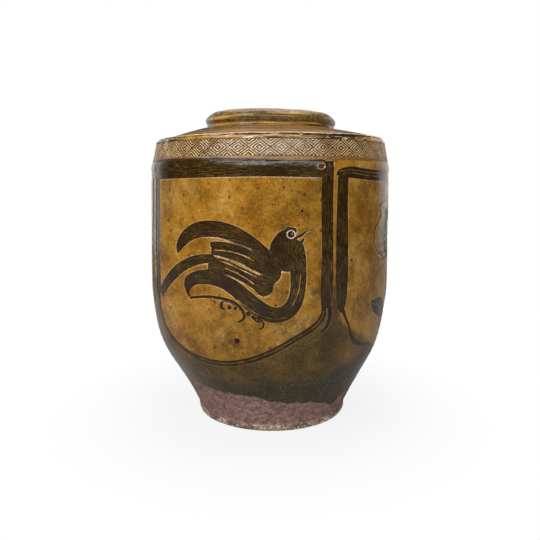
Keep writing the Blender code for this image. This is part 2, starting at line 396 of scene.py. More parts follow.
@dataclass(frozen=True)
class Placing:
    """A move of a mark round the jar, with or without a mirror."""

    along: float = 0.0
    mirrored: bool = False

    def apply(self, places: np.ndarray) -> np.ndarray:
        """The moved places."""
        sign = -1 if self.mirrored else 1
        return places * np.array([sign, 1]) + np.array([self.along, 0])


def outline_distance(places: np.ndarray, outline: np.ndarray) -> np.ndarray:
    """Distances to a closed outline, negative inside.

    Args:
        places: The places to measure from.
        outline: The outline's points.

    Returns:
        One distance for each place.
    """
    start, side = outline, np.roll(outline, -1, 0) - outline
    size = np.maximum(np.sum(side * side, 1), 1e-12)
    result = np.empty(len(places))
    for first in range(0, len(places), 2000):
        part = places[first : first + 2000]
        away = part[:, None] - start[None]
        share = np.clip(np.sum(away * side, 2) / size, 0, 1)
        nearest = np.sqrt(np.min(np.sum((away - share[..., None] * side) ** 2, 2), 1))
        end = start + side
        spans = (start[None, :, 1] > part[:, None, 1]) != (end[None, :, 1] > part[:, None, 1])
        rise = np.where(side[:, 1] == 0, 1e-12, side[:, 1])
        crossing = start[:, 0] + (part[:, None, 1] - start[:, 1]) / rise * side[:, 0]
        inside = np.sum(spans & (part[:, None, 0] < crossing), 1) % 2 == 1
        result[first : first + 2000] = np.where(inside, -nearest, nearest)
    return result


def line_distance(
    places: np.ndarray, line: np.ndarray, widths: np.ndarray
) -> tuple[np.ndarray, np.ndarray, np.ndarray]:
    """Distances to a line with a width.

    Args:
        places: The places to measure from.
        line: The middle line's points.
        widths: The half width at each point.

    Returns:
        For each place, how far it lies outside the edge, how far it lies across the middle line,
        and how far along it.
    """
    start, side = line[:-1], np.diff(line, axis=0)
    size = np.maximum(np.sum(side * side, 1), 1e-12)
    run = np.concatenate([[0], np.cumsum(np.sqrt(size))])
    outside, across, along = (np.empty(len(places)) for _ in range(3))
    for first in range(0, len(places), 2000):
        part = places[first : first + 2000]
        away = part[:, None] - start[None]
        share = np.clip(np.sum(away * side, 2) / size, 0, 1)
        gap = np.sqrt(np.sum((away - share[..., None] * side) ** 2, 2))
        edge = gap - (widths[:-1] * (1 - share) + widths[1:] * share)
        best = np.argmin(edge, 1)
        rows = np.arange(len(part))
        turn = away[rows, best, 0] * side[best, 1] - away[rows, best, 1] * side[best, 0]
        spot = slice(first, first + 2000)
        outside[spot] = edge[rows, best]
        across[spot] = np.copysign(gap[rows, best], turn)
        along[spot] = run[best] + share[rows, best] * np.sqrt(size[best])
    return outside, across, along


@dataclass
class Drawing:
    """Everything that is gouged into one panel, traced from the photograph onto the chart."""

    form: JarForm
    camera: PhotoCamera
    marks: list[Mark] = field(default_factory=list)
    spacing: float = 1.7
    comb_spacing: float = 4.0
    combed_width: float = 1.6
    burr_width: float = 0.4

    def place(self, sheet: Enlargement, points: Pixels) -> np.ndarray:
        """Lays points of an enlargement on the chart."""
        return self.form.chart(self.camera, sheet.pixels(points))

    def patch(
        self,
        sheet: Enlargement,
        outline: Pixels,
        comb: Pixels | None = None,
        tool: Tool = Tool.GOUGE,
    ) -> None:
        """Adds a patch.

        Args:
            sheet: The enlargement that it was traced on.
            outline: Its outline there.
            comb: The line that the tool's fine teeth follow, where they show.
            tool: What the patch does.
        """
        line = through(self.place(sheet, outline), True, self.spacing)
        teeth = None if comb is None else through(self.place(sheet, comb), False, self.comb_spacing)
        self.marks.append(Mark(tool, line, None, teeth))

    def stroke(
        self,
        sheet: Enlargement,
        middle: Pixels,
        widths: float | tuple[float, ...],
        tool: Tool = Tool.GOUGE,
    ) -> None:
        """Adds a stroke.

        Args:
            sheet: The enlargement that it was traced on.
            middle: Its middle line there.
            widths: Its half width there, one for all points or one for each.
            tool: What the stroke does.
        """
        scale = sheet.zoom * PIXELS_PER_MM
        places = self.place(sheet, middle)
        halves = np.full(len(places), widths) if np.isscalar(widths) else np.array(widths, float)
        joined = np.column_stack([places, halves / scale])
        line = through(joined, False, self.spacing)
        combed = halves.max() / scale > self.combed_width and tool is Tool.GOUGE
        teeth = line[:, :2] if combed else None
        self.marks.append(Mark(tool, line[:, :2], line[:, 2], teeth))

    def dot(self, sheet: Enlargement, centre: tuple[float, float], radius: float, tool: Tool) -> None:
        """Adds a round dot.

        Args:
            sheet: The enlargement that it was traced on.
            centre: Its middle there.
            radius: Its radius there.
            tool: What the dot does.
        """
        ring = arc(centre, radius, 0, 330, 11)
        self.marks.append(Mark(tool, through(self.place(sheet, ring), True, 0.9)))

    def bar(self, corners: Pixels, comb: Pixels, tool: Tool = Tool.GOUGE) -> None:
        """Adds a bar of a frame.

        Args:
            corners: Its outline, as (degrees round the jar, height).
            comb: The line that the tool's teeth follow.
            tool: What the bar does.
        """
        outline, teeth = (
            np.array(part, float) * np.array([math.radians(1) * CHART_RADIUS, 1])
            for part in (corners, comb)
        )
        line = through(outline, True, self.spacing)
        self.marks.append(Mark(tool, line, None, through(teeth, False, self.comb_spacing)))

    def freehand(self, points: np.ndarray, width: float, tool: Tool, combed: bool = False) -> None:
        """Adds a stroke of one half width through places of the chart."""
        line = through(points, False, self.spacing)
        self.marks.append(Mark(tool, line, np.full(len(line), width), line if combed else None))

    def leaf(self, outline: np.ndarray, comb: np.ndarray) -> None:
        """Adds a patch by its outline and its comb line on the chart."""
        teeth = through(comb, False, self.comb_spacing)
        self.marks.append(Mark(Tool.GOUGE, through(outline, True, self.spacing), None, teeth))


@dataclass
class BirdPanel(Drawing):
    """The front panel: a cock-tailed bird in a frame with a rounded foot."""

    plume: Pixels = (
        (218, 385), (212, 340), (216, 300), (232, 255), (258, 215), (300, 175), (345, 148),
        (400, 131), (460, 124), (520, 126), (580, 136), (640, 152), (700, 176), (760, 208),
        (820, 247), (880, 295), (930, 338), (957, 364), (985, 405), (1010, 450), (1040, 500),
        (1050, 530), (1045, 575), (1020, 612), (900, 560), (800, 420), (720, 325), (660, 298),
        (600, 276), (540, 262), (480, 256), (420, 258), (370, 268), (325, 290), (285, 322),
        (250, 358), (228, 384),
    )
    plume_comb: Pixels = (
        (225, 350), (262, 262), (340, 205), (440, 185), (560, 195), (680, 232), (790, 290),
        (890, 375), (980, 500),
    )
    upper_feather: Pixels = (
        (482, 298), (500, 290), (540, 290), (600, 293), (660, 303), (720, 318), (780, 345),
        (860, 400), (900, 560), (885, 556), (840, 528), (780, 498), (720, 468), (660, 443),
        (600, 423), (540, 408), (500, 402), (488, 388), (492, 350), (484, 335),
    )
    upper_comb: Pixels = ((490, 345), (600, 358), (720, 395), (820, 450), (900, 540))
    lower_feather: Pixels = (
        (465, 462), (500, 445), (540, 425), (570, 428), (640, 455), (720, 492), (800, 530),
        (870, 562), (900, 560), (1020, 612), (990, 640), (980, 690), (950, 725), (905, 737),
        (870, 718), (845, 690), (800, 655), (740, 620), (680, 590), (620, 565), (560, 560),
        (468, 520), (466, 480),
    )
    lower_comb: Pixels = ((470, 490), (560, 495), (660, 525), (760, 580), (860, 640), (960, 660))
    body: Pixels = (
        (470, 515), (430, 518), (380, 525), (330, 542), (292, 570), (275, 605), (274, 645),
        (284, 682), (300, 720), (325, 744), (345, 738), (322, 722), (317, 692), (330, 663),
        (360, 642), (400, 633), (450, 633), (500, 643), (550, 660), (600, 686), (650, 722),
        (700, 768), (770, 838), (830, 880), (900, 920), (960, 940), (1020, 943), (1080, 930),
        (1130, 905), (1175, 865), (1205, 820), (1225, 770), (1240, 700), (1250, 620), (1252, 540),
        (1250, 460), (1243, 390), (1232, 335), (1215, 300), (1165, 275), (1100, 470), (1120, 540),
        (1125, 600), (1122, 680), (1110, 740), (1085, 785), (1050, 812), (1010, 822), (970, 812),
        (920, 785), (860, 740), (800, 690), (740, 640), (680, 600), (620, 570), (560, 540),
    )
    body_comb: Pixels = (
        (290, 650), (340, 595), (430, 572), (530, 595), (640, 655), (740, 735), (840, 815),
        (930, 865), (1010, 882), (1085, 865), (1145, 810), (1178, 730), (1188, 620), (1186, 500),
        (1170, 380), (1130, 260),
    )
    neck: Pixels = (
        (957, 364), (958, 340), (970, 300), (990, 270), (1012, 238), (1045, 212), (1080, 195),
        (1105, 174), (1122, 178), (1150, 180), (1170, 190), (1173, 215), (1160, 240), (1170, 275),
        (1215, 300), (1232, 335), (1243, 390), (1250, 460), (1250, 530), (1120, 538), (1060, 532),
        (1040, 500), (1010, 450), (985, 405),
    )
    neck_comb: Pixels = ((1110, 190), (1075, 280), (1060, 380), (1075, 480), (1110, 560))
    under_neck: Pixels = (
        (1052, 532), (1068, 545), (1100, 536), (1106, 560), (1102, 640), (1090, 710), (1065, 765),
        (1030, 797), (990, 802), (950, 786), (915, 758), (895, 738), (905, 737), (950, 725),
        (980, 690), (990, 640), (1020, 612), (1045, 575),
    )
    under_wing: Pixels = (
        (700, 608), (760, 648), (820, 692), (880, 738), (905, 737), (868, 716), (845, 690),
        (800, 655), (745, 622),
    )
    burr_width: float = 2.6
    burr_lines: tuple[Pixels, ...] = (
        (
            (1117, 540), (1121, 600), (1117, 680), (1102, 738), (1078, 782), (1045, 807),
            (1008, 814), (970, 803), (920, 775), (860, 730), (800, 684), (740, 636), (690, 598),
            (640, 572), (612, 560),
        ),
        ((548, 424), (590, 430), (640, 450), (720, 488), (800, 524), (885, 556)),
        ((560, 446), (620, 468), (700, 504), (780, 544), (850, 574)),
        ((490, 292), (540, 288), (600, 294), (660, 306), (740, 330), (810, 362)),
        ((520, 362), (600, 366), (700, 388), (780, 420), (830, 446)),
        ((600, 508), (680, 540), (760, 584), (830, 632)),
        ((128, 688), (170, 628), (220, 575), (280, 530), (340, 503), (400, 484), (455, 472)),
        ((330, 400), (400, 418), (470, 424)),
        ((700, 760), (800, 840), (900, 892), (1000, 912), (1090, 900)),
        ((1205, 560), (1198, 640), (1180, 720), (1140, 800)),
    )
    belly_line: Pixels = (
        (325, 742), (400, 734), (470, 734), (540, 742), (600, 755), (650, 772), (700, 800),
        (735, 840), (755, 880), (745, 915), (715, 935), (700, 938),
    )
    belly_widths: tuple[float, ...] = (9, 9, 10, 11, 11, 11, 11, 10, 10, 9, 7, 4)
    long_feather: Pixels = (
        (85, 670), (100, 625), (130, 572), (170, 517), (220, 470), (280, 432), (340, 408),
        (400, 396), (460, 393), (495, 396), (500, 402), (540, 425), (500, 445), (466, 463),
        (440, 466), (380, 479), (320, 502), (260, 541), (210, 591), (165, 641), (135, 690),
        (108, 742), (95, 710),
    )
    long_comb: Pixels = (
        (100, 700), (150, 605), (215, 530), (290, 475), (370, 442), (450, 430), (520, 420),
    )
    foot_outline: Pixels = (
        (1388, 820), (1392, 850), (1380, 895), (1330, 960), (1250, 1020), (1150, 1080),
        (1050, 1140), (950, 1190), (850, 1230), (750, 1255), (650, 1268), (560, 1265), (470, 1250),
        (380, 1215), (300, 1170), (230, 1110), (180, 1050), (140, 980), (115, 920), (95, 850),
        (85, 780), (80, 700), (74, 640),
    )
    foot_widths: tuple[float, ...] = (
        16, 20, 22, 22, 22, 22, 22, 22, 22, 22, 22, 22, 22, 21, 20, 18, 16, 14, 12, 11, 11, 11, 11,
    )
    foot_curl: Pixels = ((1438, 815), (1440, 870), (1430, 935), (1400, 990), (1366, 1020))
    top_bar: Pixels = (
        (155.4, 161.5), (160, 159.8), (168, 159), (185, 158.4), (210, 157.9), (240, 158),
        (256, 158.6), (270, 159.2), (285, 159.8), (300, 160), (312, 159.6), (322, 159.4),
        (328, 162), (329, 170), (326, 177), (310, 177.6), (290, 177), (265, 176.6), (240, 176.8),
        (215, 177.3), (190, 177.9), (172, 178.6), (160, 179.6), (156, 178), (155, 170),
    )

    def draw(self) -> "BirdPanel":
        """Gouges the bird and its frame, in the order that the strokes cover each other."""
        for outline, comb in (
            (self.plume, self.plume_comb),
            (self.upper_feather, self.upper_comb),
            (self.lower_feather, self.lower_comb),
            (self.body, self.body_comb),
            (self.neck, self.neck_comb),
        ):
            self.patch(BIRD_SHEET, outline, comb)
        self.patch(BIRD_SHEET, self.under_neck, tool=Tool.SPARE)
        self.patch(BIRD_SHEET, self.under_wing, tool=Tool.SPARE)
        for line in self.burr_lines:
            self.stroke(BIRD_SHEET, line, self.burr_width, Tool.BURR)
        self.stroke(BIRD_SHEET, self.belly_line, self.belly_widths)
        self.patch(BIRD_SHEET, self.long_feather, self.long_comb)
        self.draw_head_and_feet()
        self.draw_frame()
        return self

    def draw_head_and_feet(self) -> None:
        """Gouges the beak, the eye and the small strokes of the feet."""
        sheet = BIRD_SHEET
        self.stroke(sheet, ((1160, 270), (1215, 238), (1272, 205)), (9, 9, 3))
        self.stroke(sheet, ((1205, 305), (1222, 285), (1230, 268)), (10, 8, 4))
        for radius, tool in ((36, Tool.PALE), (28, Tool.GOUGE)):
            self.dot(sheet, (1129, 236), radius, tool)
        # A small pale dot in the dark pupil: a painted glint.
        self.dot(sheet, (1137, 234), 4, Tool.PALE)
        self.stroke(sheet, ((580, 775), (568, 800), (575, 825), (600, 836)), (8, 12, 10, 5))
        self.stroke(sheet, ((585, 772), (625, 778), (665, 795), (690, 812)), 4)
        for centre, radius in (((635, 820), 17), ((683, 828), 15), ((787, 870), 20)):
            self.dot(sheet, centre, radius, Tool.GOUGE)
        self.stroke(sheet, ((820, 895), (850, 915), (875, 935)), (10, 16, 10))
        self.dot(sheet, (860, 920), 6, Tool.SPARE)
        hook = ((845, 900), (885, 922), (908, 950), (905, 978), (885, 992), (866, 990))
        self.stroke(sheet, hook, (6, 7, 7, 6, 5, 3))

    def draw_frame(self) -> None:
        """Gouges the upright bars, the wide top bar with its loop, and the rounded foot."""
        self.stroke(BIRD_SHEET, self.foot_outline, self.foot_widths)
        self.stroke(BIRD_SHEET, self.foot_outline[1:-4], 2.2, Tool.BURR)
        self.stroke(BIRD_SHEET, self.foot_curl, (14, 15, 14, 10, 5))
        self.stroke(BIRD_SHEET, ((1412, 830), (1416, 880), (1400, 940), (1375, 985)), 3, Tool.BURR)
        self.bar(
            ((-57.9, 345), (-63.2, 345), (-63.6, 250), (-62.6, 190), (-59.5, 172), (-57.4, 190),
             (-57.6, 260)),
            ((-60.5, 350), (-60.8, 260), (-60, 175)),
        )
        self.bar(
            ((27.0, 352), (21.6, 352), (21.4, 300), (21.9, 250), (21.6, 200), (22.0, 178),
             (26.2, 177), (27.3, 200), (27.2, 250), (26.8, 300)),
            ((24.3, 355), (24.4, 260), (24.2, 175)),
        )
        self.patch(PHOTO_SHEET, self.top_bar, ((158, 168), (230, 166.5), (320, 168)))
        loop = ((317.5, 168.6), (318.2, 165.4), (321.6, 163.2), (325.4, 164.4), (325.0, 167.6),
                (321.0, 169.2), (317.4, 167.2))
        self.stroke(PHOTO_SHEET, loop, 0.5, Tool.SPARE)


@dataclass
class SprigPanel(Drawing):
    """The panels at the sides: a combed gourd-shaped sprig in a frame. Half of it shows."""

    centre: float = 71.9
    top_bar: Pixels = (
        (262, 150), (290, 128), (330, 118), (380, 115), (430, 125), (500, 135), (560, 143),
        (600, 150),
    )
    top_bar_low: Pixels = ((610, 225), (560, 219), (500, 212), (400, 200), (300, 188), (256, 176))
    foot_line: Pixels = (
        (292, 1080), (305, 1130), (325, 1190), (345, 1240), (352, 1290), (380, 1335), (430, 1360),
        (470, 1352),
    )

    def draw(self) -> "SprigPanel":
        """Gouges the left half as it shows, its mirror image, and the sprig between them."""
        count = len(self.marks)
        self.bar(
            ((34.6, 340), (29.2, 342), (28.7, 300), (28.6, 250), (28.8, 205), (29.6, 178),
             (32.4, 168), (34.2, 180), (35.0, 215), (34.9, 260), (34.4, 300)),
            ((31.8, 345), (31.8, 260), (31.6, 170)),
        )
        self.patch(SIDE_SHEET, (*self.top_bar, *self.top_bar_low), ((250, 160), (380, 158), (610, 190)))
        comb_lines = (
            ((280, 150), (340, 138), (420, 145), (500, 158), (600, 172)),
            ((300, 168), (380, 162), (460, 176), (600, 200)),
        )
        for line in comb_lines:
            self.stroke(SIDE_SHEET, line, 2.3, Tool.BURR)
        self.stroke(SIDE_SHEET, self.foot_line, (14, 11, 8, 8, 12, 15, 12, 8))
        start = self.place(SIDE_SHEET, self.foot_line[-1:])[0]
        middle = math.radians(self.centre) * CHART_RADIUS
        low = np.array([start, (start[0] + 26, 104.0), (middle - 12, 97.0), (middle + 1, 95.5)])
        self.freehand(low, 3.0, Tool.GOUGE, combed=True)
        self.freehand(low, self.burr_width, Tool.BURR)
        mirror = Placing(2 * middle, True)
        self.marks += [mark.moved(mirror) for mark in self.marks[count:]]
        corners = self.place(SIDE_SHEET, (self.top_bar[-2], self.top_bar_low[1]))
        across = np.vstack([corners, mirror.apply(corners)[::-1]])
        run = np.linspace(across[0, 0], across[-1, 0], 6)
        middle_line = np.stack([run, np.full(len(run), across[:, 1].mean())], 1)
        self.marks.append(Mark(Tool.GOUGE, across, None, middle_line))
        self.draw_sprig(middle)
        return self

    def draw_sprig(self, middle: float) -> None:
        """Gouges the sprig: two lobes in an outline, on a stalk between two leaves."""
        edge = self.place(
            SIDE_SHEET,
            ((600, 345), (570, 365), (557, 400), (565, 450), (545, 500), (525, 550), (518, 610),
             (525, 670), (545, 720), (575, 745)),
        )
        crown = np.array([(middle, edge[0, 1] + 5)])
        stalk = np.array([(middle - 14, edge[-1, 1] - 9), (middle - 4, edge[-1, 1] - 13)])
        half = np.vstack([crown, edge, stalk])
        mirror = Placing(2 * middle, True)
        for side in (half, mirror.apply(half)):
            self.freehand(side, 1.2, Tool.GOUGE)
        inner = half.copy()
        inner[:, 0] = middle + (inner[:, 0] - middle) * 0.62
        inner[:, 1] = 262 + (inner[:, 1] - 262) * 0.86
        outline = np.vstack([inner, mirror.apply(inner)[::-1]])
        teeth = np.array([(middle, 330.0), (middle + 1, 262.0), (middle, 180.0)])
        self.leaf(outline, teeth)
        for offset in (-16, -7, 3, 12):
            vein = np.array(
                [(middle + offset * 0.4, 292), (middle + offset, 258), (middle + offset * 0.5, 226)]
            )
            self.freehand(vein, self.burr_width, Tool.BURR)
        stem = np.array([(middle, 206), (middle + 2, 180), (middle - 1, 152), (middle, 132)])
        stem = through(stem, False, self.spacing)
        self.marks.append(Mark(Tool.GOUGE, stem, np.linspace(2.6, 1.6, len(stem)), stem))
        for sign in (-1, 1):
            leaf = np.array(
                [(0, 150), (14, 168), (34, 178), (58, 176), (50, 162), (32, 152), (12, 146)], float
            )
            leaf[:, 0] = middle + sign * leaf[:, 0]
            rib = np.array([(middle, 149.0), (middle + sign * 30, 164.0), (middle + sign * 54, 173.0)])
            self.leaf(leaf, rib)
            self.freehand(rib, self.burr_width, Tool.BURR)


@dataclass(frozen=True)
class WallGlaze:
    """The colours of the slip, the glazes and the bare clay on the jar's wall."""

    amber: Colour = srgb(180, 127, 32)
    amber_deep: Colour = srgb(118, 76, 10)
    amber_pale: Colour = srgb(212, 168, 92)
    brown: Colour = srgb(102, 79, 38)
    olive_deep: Colour = srgb(60, 48, 18)
    brown_deep: Colour = srgb(58, 44, 20)
    ink: Colour = srgb(37, 22, 0)
    # The darkest glaze just inside each cut's edge: pooled glaze with a painted shadow line.
    ink_edge_and_shadow: Colour = srgb(22, 14, 5)
    ink_pale: Colour = srgb(104, 78, 26)
    burr: Colour = srgb(214, 166, 96)
    pale: Colour = srgb(196, 192, 180)
    # The dark olive of the lowest wall: glaze pooled at the bottom, and painted shade on the wall that
    # faces down.
    pool: Colour = srgb(42, 35, 20)
    pool_and_shade_pale: Colour = srgb(68, 58, 37)
    clay: Colour = srgb(164, 129, 116)
    clay_dark: Colour = srgb(116, 86, 78)
    spot: Colour = srgb(30, 16, 22)
    rust: Colour = srgb(122, 52, 24)
    inside: Colour = srgb(66, 46, 26)
    cream: Colour = srgb(206, 196, 168)
    grit: Colour = srgb(58, 52, 58)
    ochre: Colour = srgb(150, 96, 44)
    ash: Colour = srgb(118, 112, 84)


class Bench:
    """Lays nodes in a shader tree and joins them."""

    def __init__(self, tree: bpy.types.NodeTree) -> None:
        """Takes the tree that the nodes go in."""
        self.tree = tree

    def node(self, kind: str, **settings: object) -> bpy.types.Node:
        """Adds a node.

        Args:
            kind: The node's type, without its ShaderNode prefix.
            settings: Values of the node's own settings.

        Returns:
            The node.
        """
        node = self.tree.nodes.new("ShaderNode" + kind)
        for name, value in settings.items():
            setattr(node, name, value)
        return node

    def feed(self, socket: bpy.types.NodeSocket, value: object) -> None:
        """Joins a socket to another's value, or sets it."""
        if isinstance(value, bpy.types.NodeSocket):
            self.tree.links.new(value, socket)
        else:
            socket.default_value = value

    def sum(self, operation: str, *values: object, clamp: bool = False) -> bpy.types.NodeSocket:
        """The result of a Math node."""
        node = self.node("Math", operation=operation, use_clamp=clamp)
        for socket, value in zip(node.inputs, values):
            self.feed(socket, value)
        return node.outputs[0]

    def times(self, *values: object, clamp: bool = False) -> Socket:
        """The product of two or more values."""
        product = values[0]
        for value in values[1:]:
            product = self.sum("MULTIPLY", product, value, clamp=clamp)
        return product

    def plus(self, first: object, second: object, clamp: bool = False) -> Socket:
        """The sum of two values."""
        return self.sum("ADD", first, second, clamp=clamp)

    def less(self, first: object, second: object) -> Socket:
        """The first value less the second."""
        return self.sum("SUBTRACT", first, second)

    def between(self, value: object, low: float, high: float) -> bpy.types.NodeSocket:
        """Eases a value from 0 at low to 1 at high."""
        node = self.node("MapRange", interpolation_type="SMOOTHSTEP")
        self.feed(node.inputs["Value"], value)
        if low < high:
            ends = (low, high, 0.0, 1.0)
        else:
            ends = (high, low, 1.0, 0.0)
        for name, end in zip(("From Min", "From Max", "To Min", "To Max"), ends):
            self.feed(node.inputs[name], end)
        return node.outputs["Result"]

    def blend(self, share: object, low: object, high: object) -> bpy.types.NodeSocket:
        """Mixes two colours, low at share 0 and high at share 1."""
        node = self.node("Mix", data_type="RGBA", clamp_factor=True)
        for identifier, value in zip(("Factor_Float", "A_Color", "B_Color"), (share, low, high)):
            socket = next(s for s in node.inputs if s.identifier == identifier)
            self.feed(socket, value)
        return next(s for s in node.outputs if s.identifier == "Result_Color")

    def coat(self, under: object, over: object, share: object, strength: float) -> Socket:
        """Lays a colour over another, where share says and as strongly as strength says."""
        return self.blend(self.times(share, strength), under, over)

    def noise(
        self, vector: object, scale: float, detail: float = 3, rough: float = 0.5
    ) -> bpy.types.NodeSocket:
        """The value of a noise texture."""
        node = self.node("TexNoise", noise_dimensions="3D")
        self.feed(node.inputs["Vector"], vector)
        self.feed(node.inputs["Scale"], scale)
        self.feed(node.inputs["Detail"], detail)
        self.feed(node.inputs["Roughness"], rough)
        return node.outputs["Fac"]

    def patches(
        self, vector: object, scale: float, detail: float, rough: float, low: float, high: float
    ) -> Socket:
        """Patches of a noise, eased in from low to high."""
        return self.between(self.noise(vector, scale, detail, rough), low, high)

    def strew(self, under: object, place: Socket, *strewings: Strewing) -> Socket:
        """Strews patches of colours over a colour.

        Args:
            under: The colour that they lie on.
            place: The coordinates that they follow.
            strewings: For each colour its noise's scale, detail and roughness, the values between
                which it eases in, its strength and the colour itself.

        Returns:
            The mixed colour.
        """
        for scale, detail, rough, low, high, strength, colour in strewings:
            share = self.patches(place, scale, detail, rough, low, high)
            under = self.coat(under, colour, share, strength)
        return under

    def value_of(self, name: str) -> bpy.types.NodeSocket:
        """The value of a mesh attribute."""
        return self.node("Attribute", attribute_name=name).outputs["Fac"]

    def group(self, tree: bpy.types.NodeTree, **values: object) -> bpy.types.Node:
        """Adds a shared effect.

        Args:
            tree: The effect's node group.
            values: Values of its inputs, with underscores for the blanks in their names.

        Returns:
            The group's node.
        """
        node = self.node("Group", node_tree=tree)
        for name, value in values.items():
            self.feed(node.inputs[name.replace("_", " ")], value)
        return node

    def vector(self, x: object, y: object, z: object) -> bpy.types.NodeSocket:
        """Joins three values to a vector."""
        node = self.node("CombineXYZ")
        for socket, value in zip(node.inputs, (x, y, z)):
            self.feed(socket, value)
        return node.outputs[0]

    def axes(self, vector: object) -> tuple[Socket, ...]:
        """The three values of a vector."""
        node = self.node("SeparateXYZ")
        self.feed(node.inputs[0], vector)
        return tuple(node.outputs)

    def stretched(self, place: Socket, around: float, upward: float) -> Socket:
        """Coordinates scaled by around across the jar's axis and by upward along it."""
        x, y, z = self.axes(place)
        return self.vector(self.times(x, around), self.times(y, around), self.times(z, upward))


def new_group(
    name: str, inputs: dict[str, object], outputs: tuple[str, ...]
) -> tuple[bpy.types.NodeTree, Bench, bpy.types.Node, bpy.types.Node]:
    """Starts a shader group.

    Args:
        name: The group's name.
        inputs: Its inputs, each with its default. A default of None is a vector.
        outputs: Its outputs, which are all values.

    Returns:
        The group, a bench to lay its nodes with, its input node and its output node.
    """
    tree = bpy.data.node_groups.new(name, "ShaderNodeTree")
    for label, default in inputs.items():
        kind = "NodeSocketVector" if default is None else "NodeSocketFloat"
        socket = tree.interface.new_socket(name=label, in_out="INPUT", socket_type=kind)
        if default is not None:
            socket.default_value = default
    for label in outputs:
        tree.interface.new_socket(name=label, in_out="OUTPUT", socket_type="NodeSocketFloat")
    return tree, Bench(tree), tree.nodes.new("NodeGroupInput"), tree.nodes.new("NodeGroupOutput")


class Effects:
    """The effects that more than one of the jar's finishes shares, each a shader group."""

    def __init__(self) -> None:
        """Builds each group once."""
        self.mottle_group = self.build_mottle()
        self.speck_group = self.build_specks()
        self.pinhole_group = self.build_pinholes()

    def mottle(self, bench: Bench, place: Socket, cloud: float, grain: float) -> tuple[Socket, ...]:
        """The cloud, grain and swell of an ash glaze, at the scales of its cloud and grain."""
        node = bench.group(self.mottle_group, Place=place, Cloud_Scale=cloud, Grain_Scale=grain)
        return tuple(node.outputs)

    def specks(self, bench: Bench, place: Socket, scale: float, share: float) -> Socket:
        """The mask of iron specks, in a share of the cells of a scale."""
        return bench.group(self.speck_group, Place=place, Scale=scale, Share=share).outputs[0]

    def pinholes(self, bench: Bench, place: Socket, scale: float, share: float) -> Socket:
        """The mask of pinholes, in a share of the cells of a scale."""
        return bench.group(self.pinhole_group, Place=place, Scale=scale, Share=share).outputs[0]

    @staticmethod
    def build_mottle() -> bpy.types.NodeTree:
        """Clouds and fine grain of an ash glaze, from 0 to 1, and the swell of its surface."""
        inputs = {"Place": None, "Cloud Scale": 60.0, "Grain Scale": 520.0, "Grain Share": 0.5}
        tree, bench, entry, leave = new_group("ash_glaze_mottle", inputs, ("Cloud", "Grain", "Swell"))
        place, cloud_scale, grain_scale, grain_share = entry.outputs[:4]
        broad = bench.noise(place, 20.0, 2, 0.5)
        cloud = bench.noise(place, cloud_scale, 4, 0.62)
        grain = bench.noise(place, grain_scale, 3, 0.7)
        clouds = bench.plus(bench.times(broad, 0.45), bench.times(cloud, 0.55))
        clouds = bench.plus(clouds, bench.times(bench.less(grain, 0.5), grain_share))
        bench.feed(leave.inputs["Cloud"], bench.between(clouds, 0.3, 0.7))
        bench.feed(leave.inputs["Grain"], bench.between(grain, 0.38, 0.62))
        bench.feed(leave.inputs["Swell"], bench.plus(cloud, bench.times(grain, 0.25)))
        return tree

    @staticmethod
    def cells(bench: Bench, entry: bpy.types.Node) -> tuple[Socket, tuple[Socket, ...]]:
        """How far a place is from the middle of its cell, and the cell's three random values."""
        cells = bench.node("TexVoronoi", voronoi_dimensions="3D", feature="F1")
        bench.feed(cells.inputs["Vector"], entry.outputs["Place"])
        bench.feed(cells.inputs["Scale"], entry.outputs["Scale"])
        picked = bench.node("SeparateColor")
        bench.feed(picked.inputs[0], cells.outputs["Color"])
        return cells.outputs["Distance"], tuple(picked.outputs)

    @classmethod
    def build_specks(cls) -> bpy.types.NodeTree:
        """Iron specks that bleed through a glaze or a bare body: 1 in a speck."""
        inputs = {"Place": None, "Scale": 90.0, "Share": 0.2}
        tree, bench, entry, leave = new_group("iron_specks", inputs, ("Speck",))
        distance, (pick, size, _) = cls.cells(bench, entry)
        chance = bench.sum("LESS_THAN", pick, entry.outputs["Share"])
        spot = bench.less(bench.plus(bench.times(size, 0.28), 0.12), distance)
        bench.feed(leave.inputs["Speck"], bench.times(bench.between(spot, 0.0, 0.08), chance))
        return tree

    @classmethod
    def build_pinholes(cls) -> bpy.types.NodeTree:
        """Burst bubbles and grit in the glaze: 1 at the middle of a pinhole."""
        inputs = {"Place": None, "Scale": 330.0, "Share": 0.12}
        tree, bench, entry, leave = new_group("glaze_pinholes", inputs, ("Pinhole",))
        distance, (_, _, pick) = cls.cells(bench, entry)
        chance = bench.sum("LESS_THAN", pick, entry.outputs["Share"])
        hole = bench.between(distance, 0.38, 0.08)
        bench.feed(leave.inputs["Pinhole"], bench.times(hole, chance))
        return tree


def new_finish(name: str) -> tuple[bpy.types.Material, Bench, bpy.types.Node, bpy.types.NodeSocket]:
    """Starts a material.

    Args:
        name: The material's name.

    Returns:
        The material, a bench for its tree, its Principled shader and its Object coordinates.
    """
    material = bpy.data.materials.new(name)
    material.use_nodes = True
    bench = Bench(material.node_tree)
    shader = material.node_tree.nodes["Principled BSDF"]
    place = bench.node("TexCoord").outputs["Object"]
    return material, bench, shader, place


@dataclass(frozen=True)
class Skin:
    """What a finish gives its shader.

    The height, where there is one, feeds a bump of that strength and that reach in metres.
    """

    colour: Socket
    rough: object
    height: Socket | None = None
    strength: float = 0.0
    reach: float = 0.0
    gloss: float = 0.5


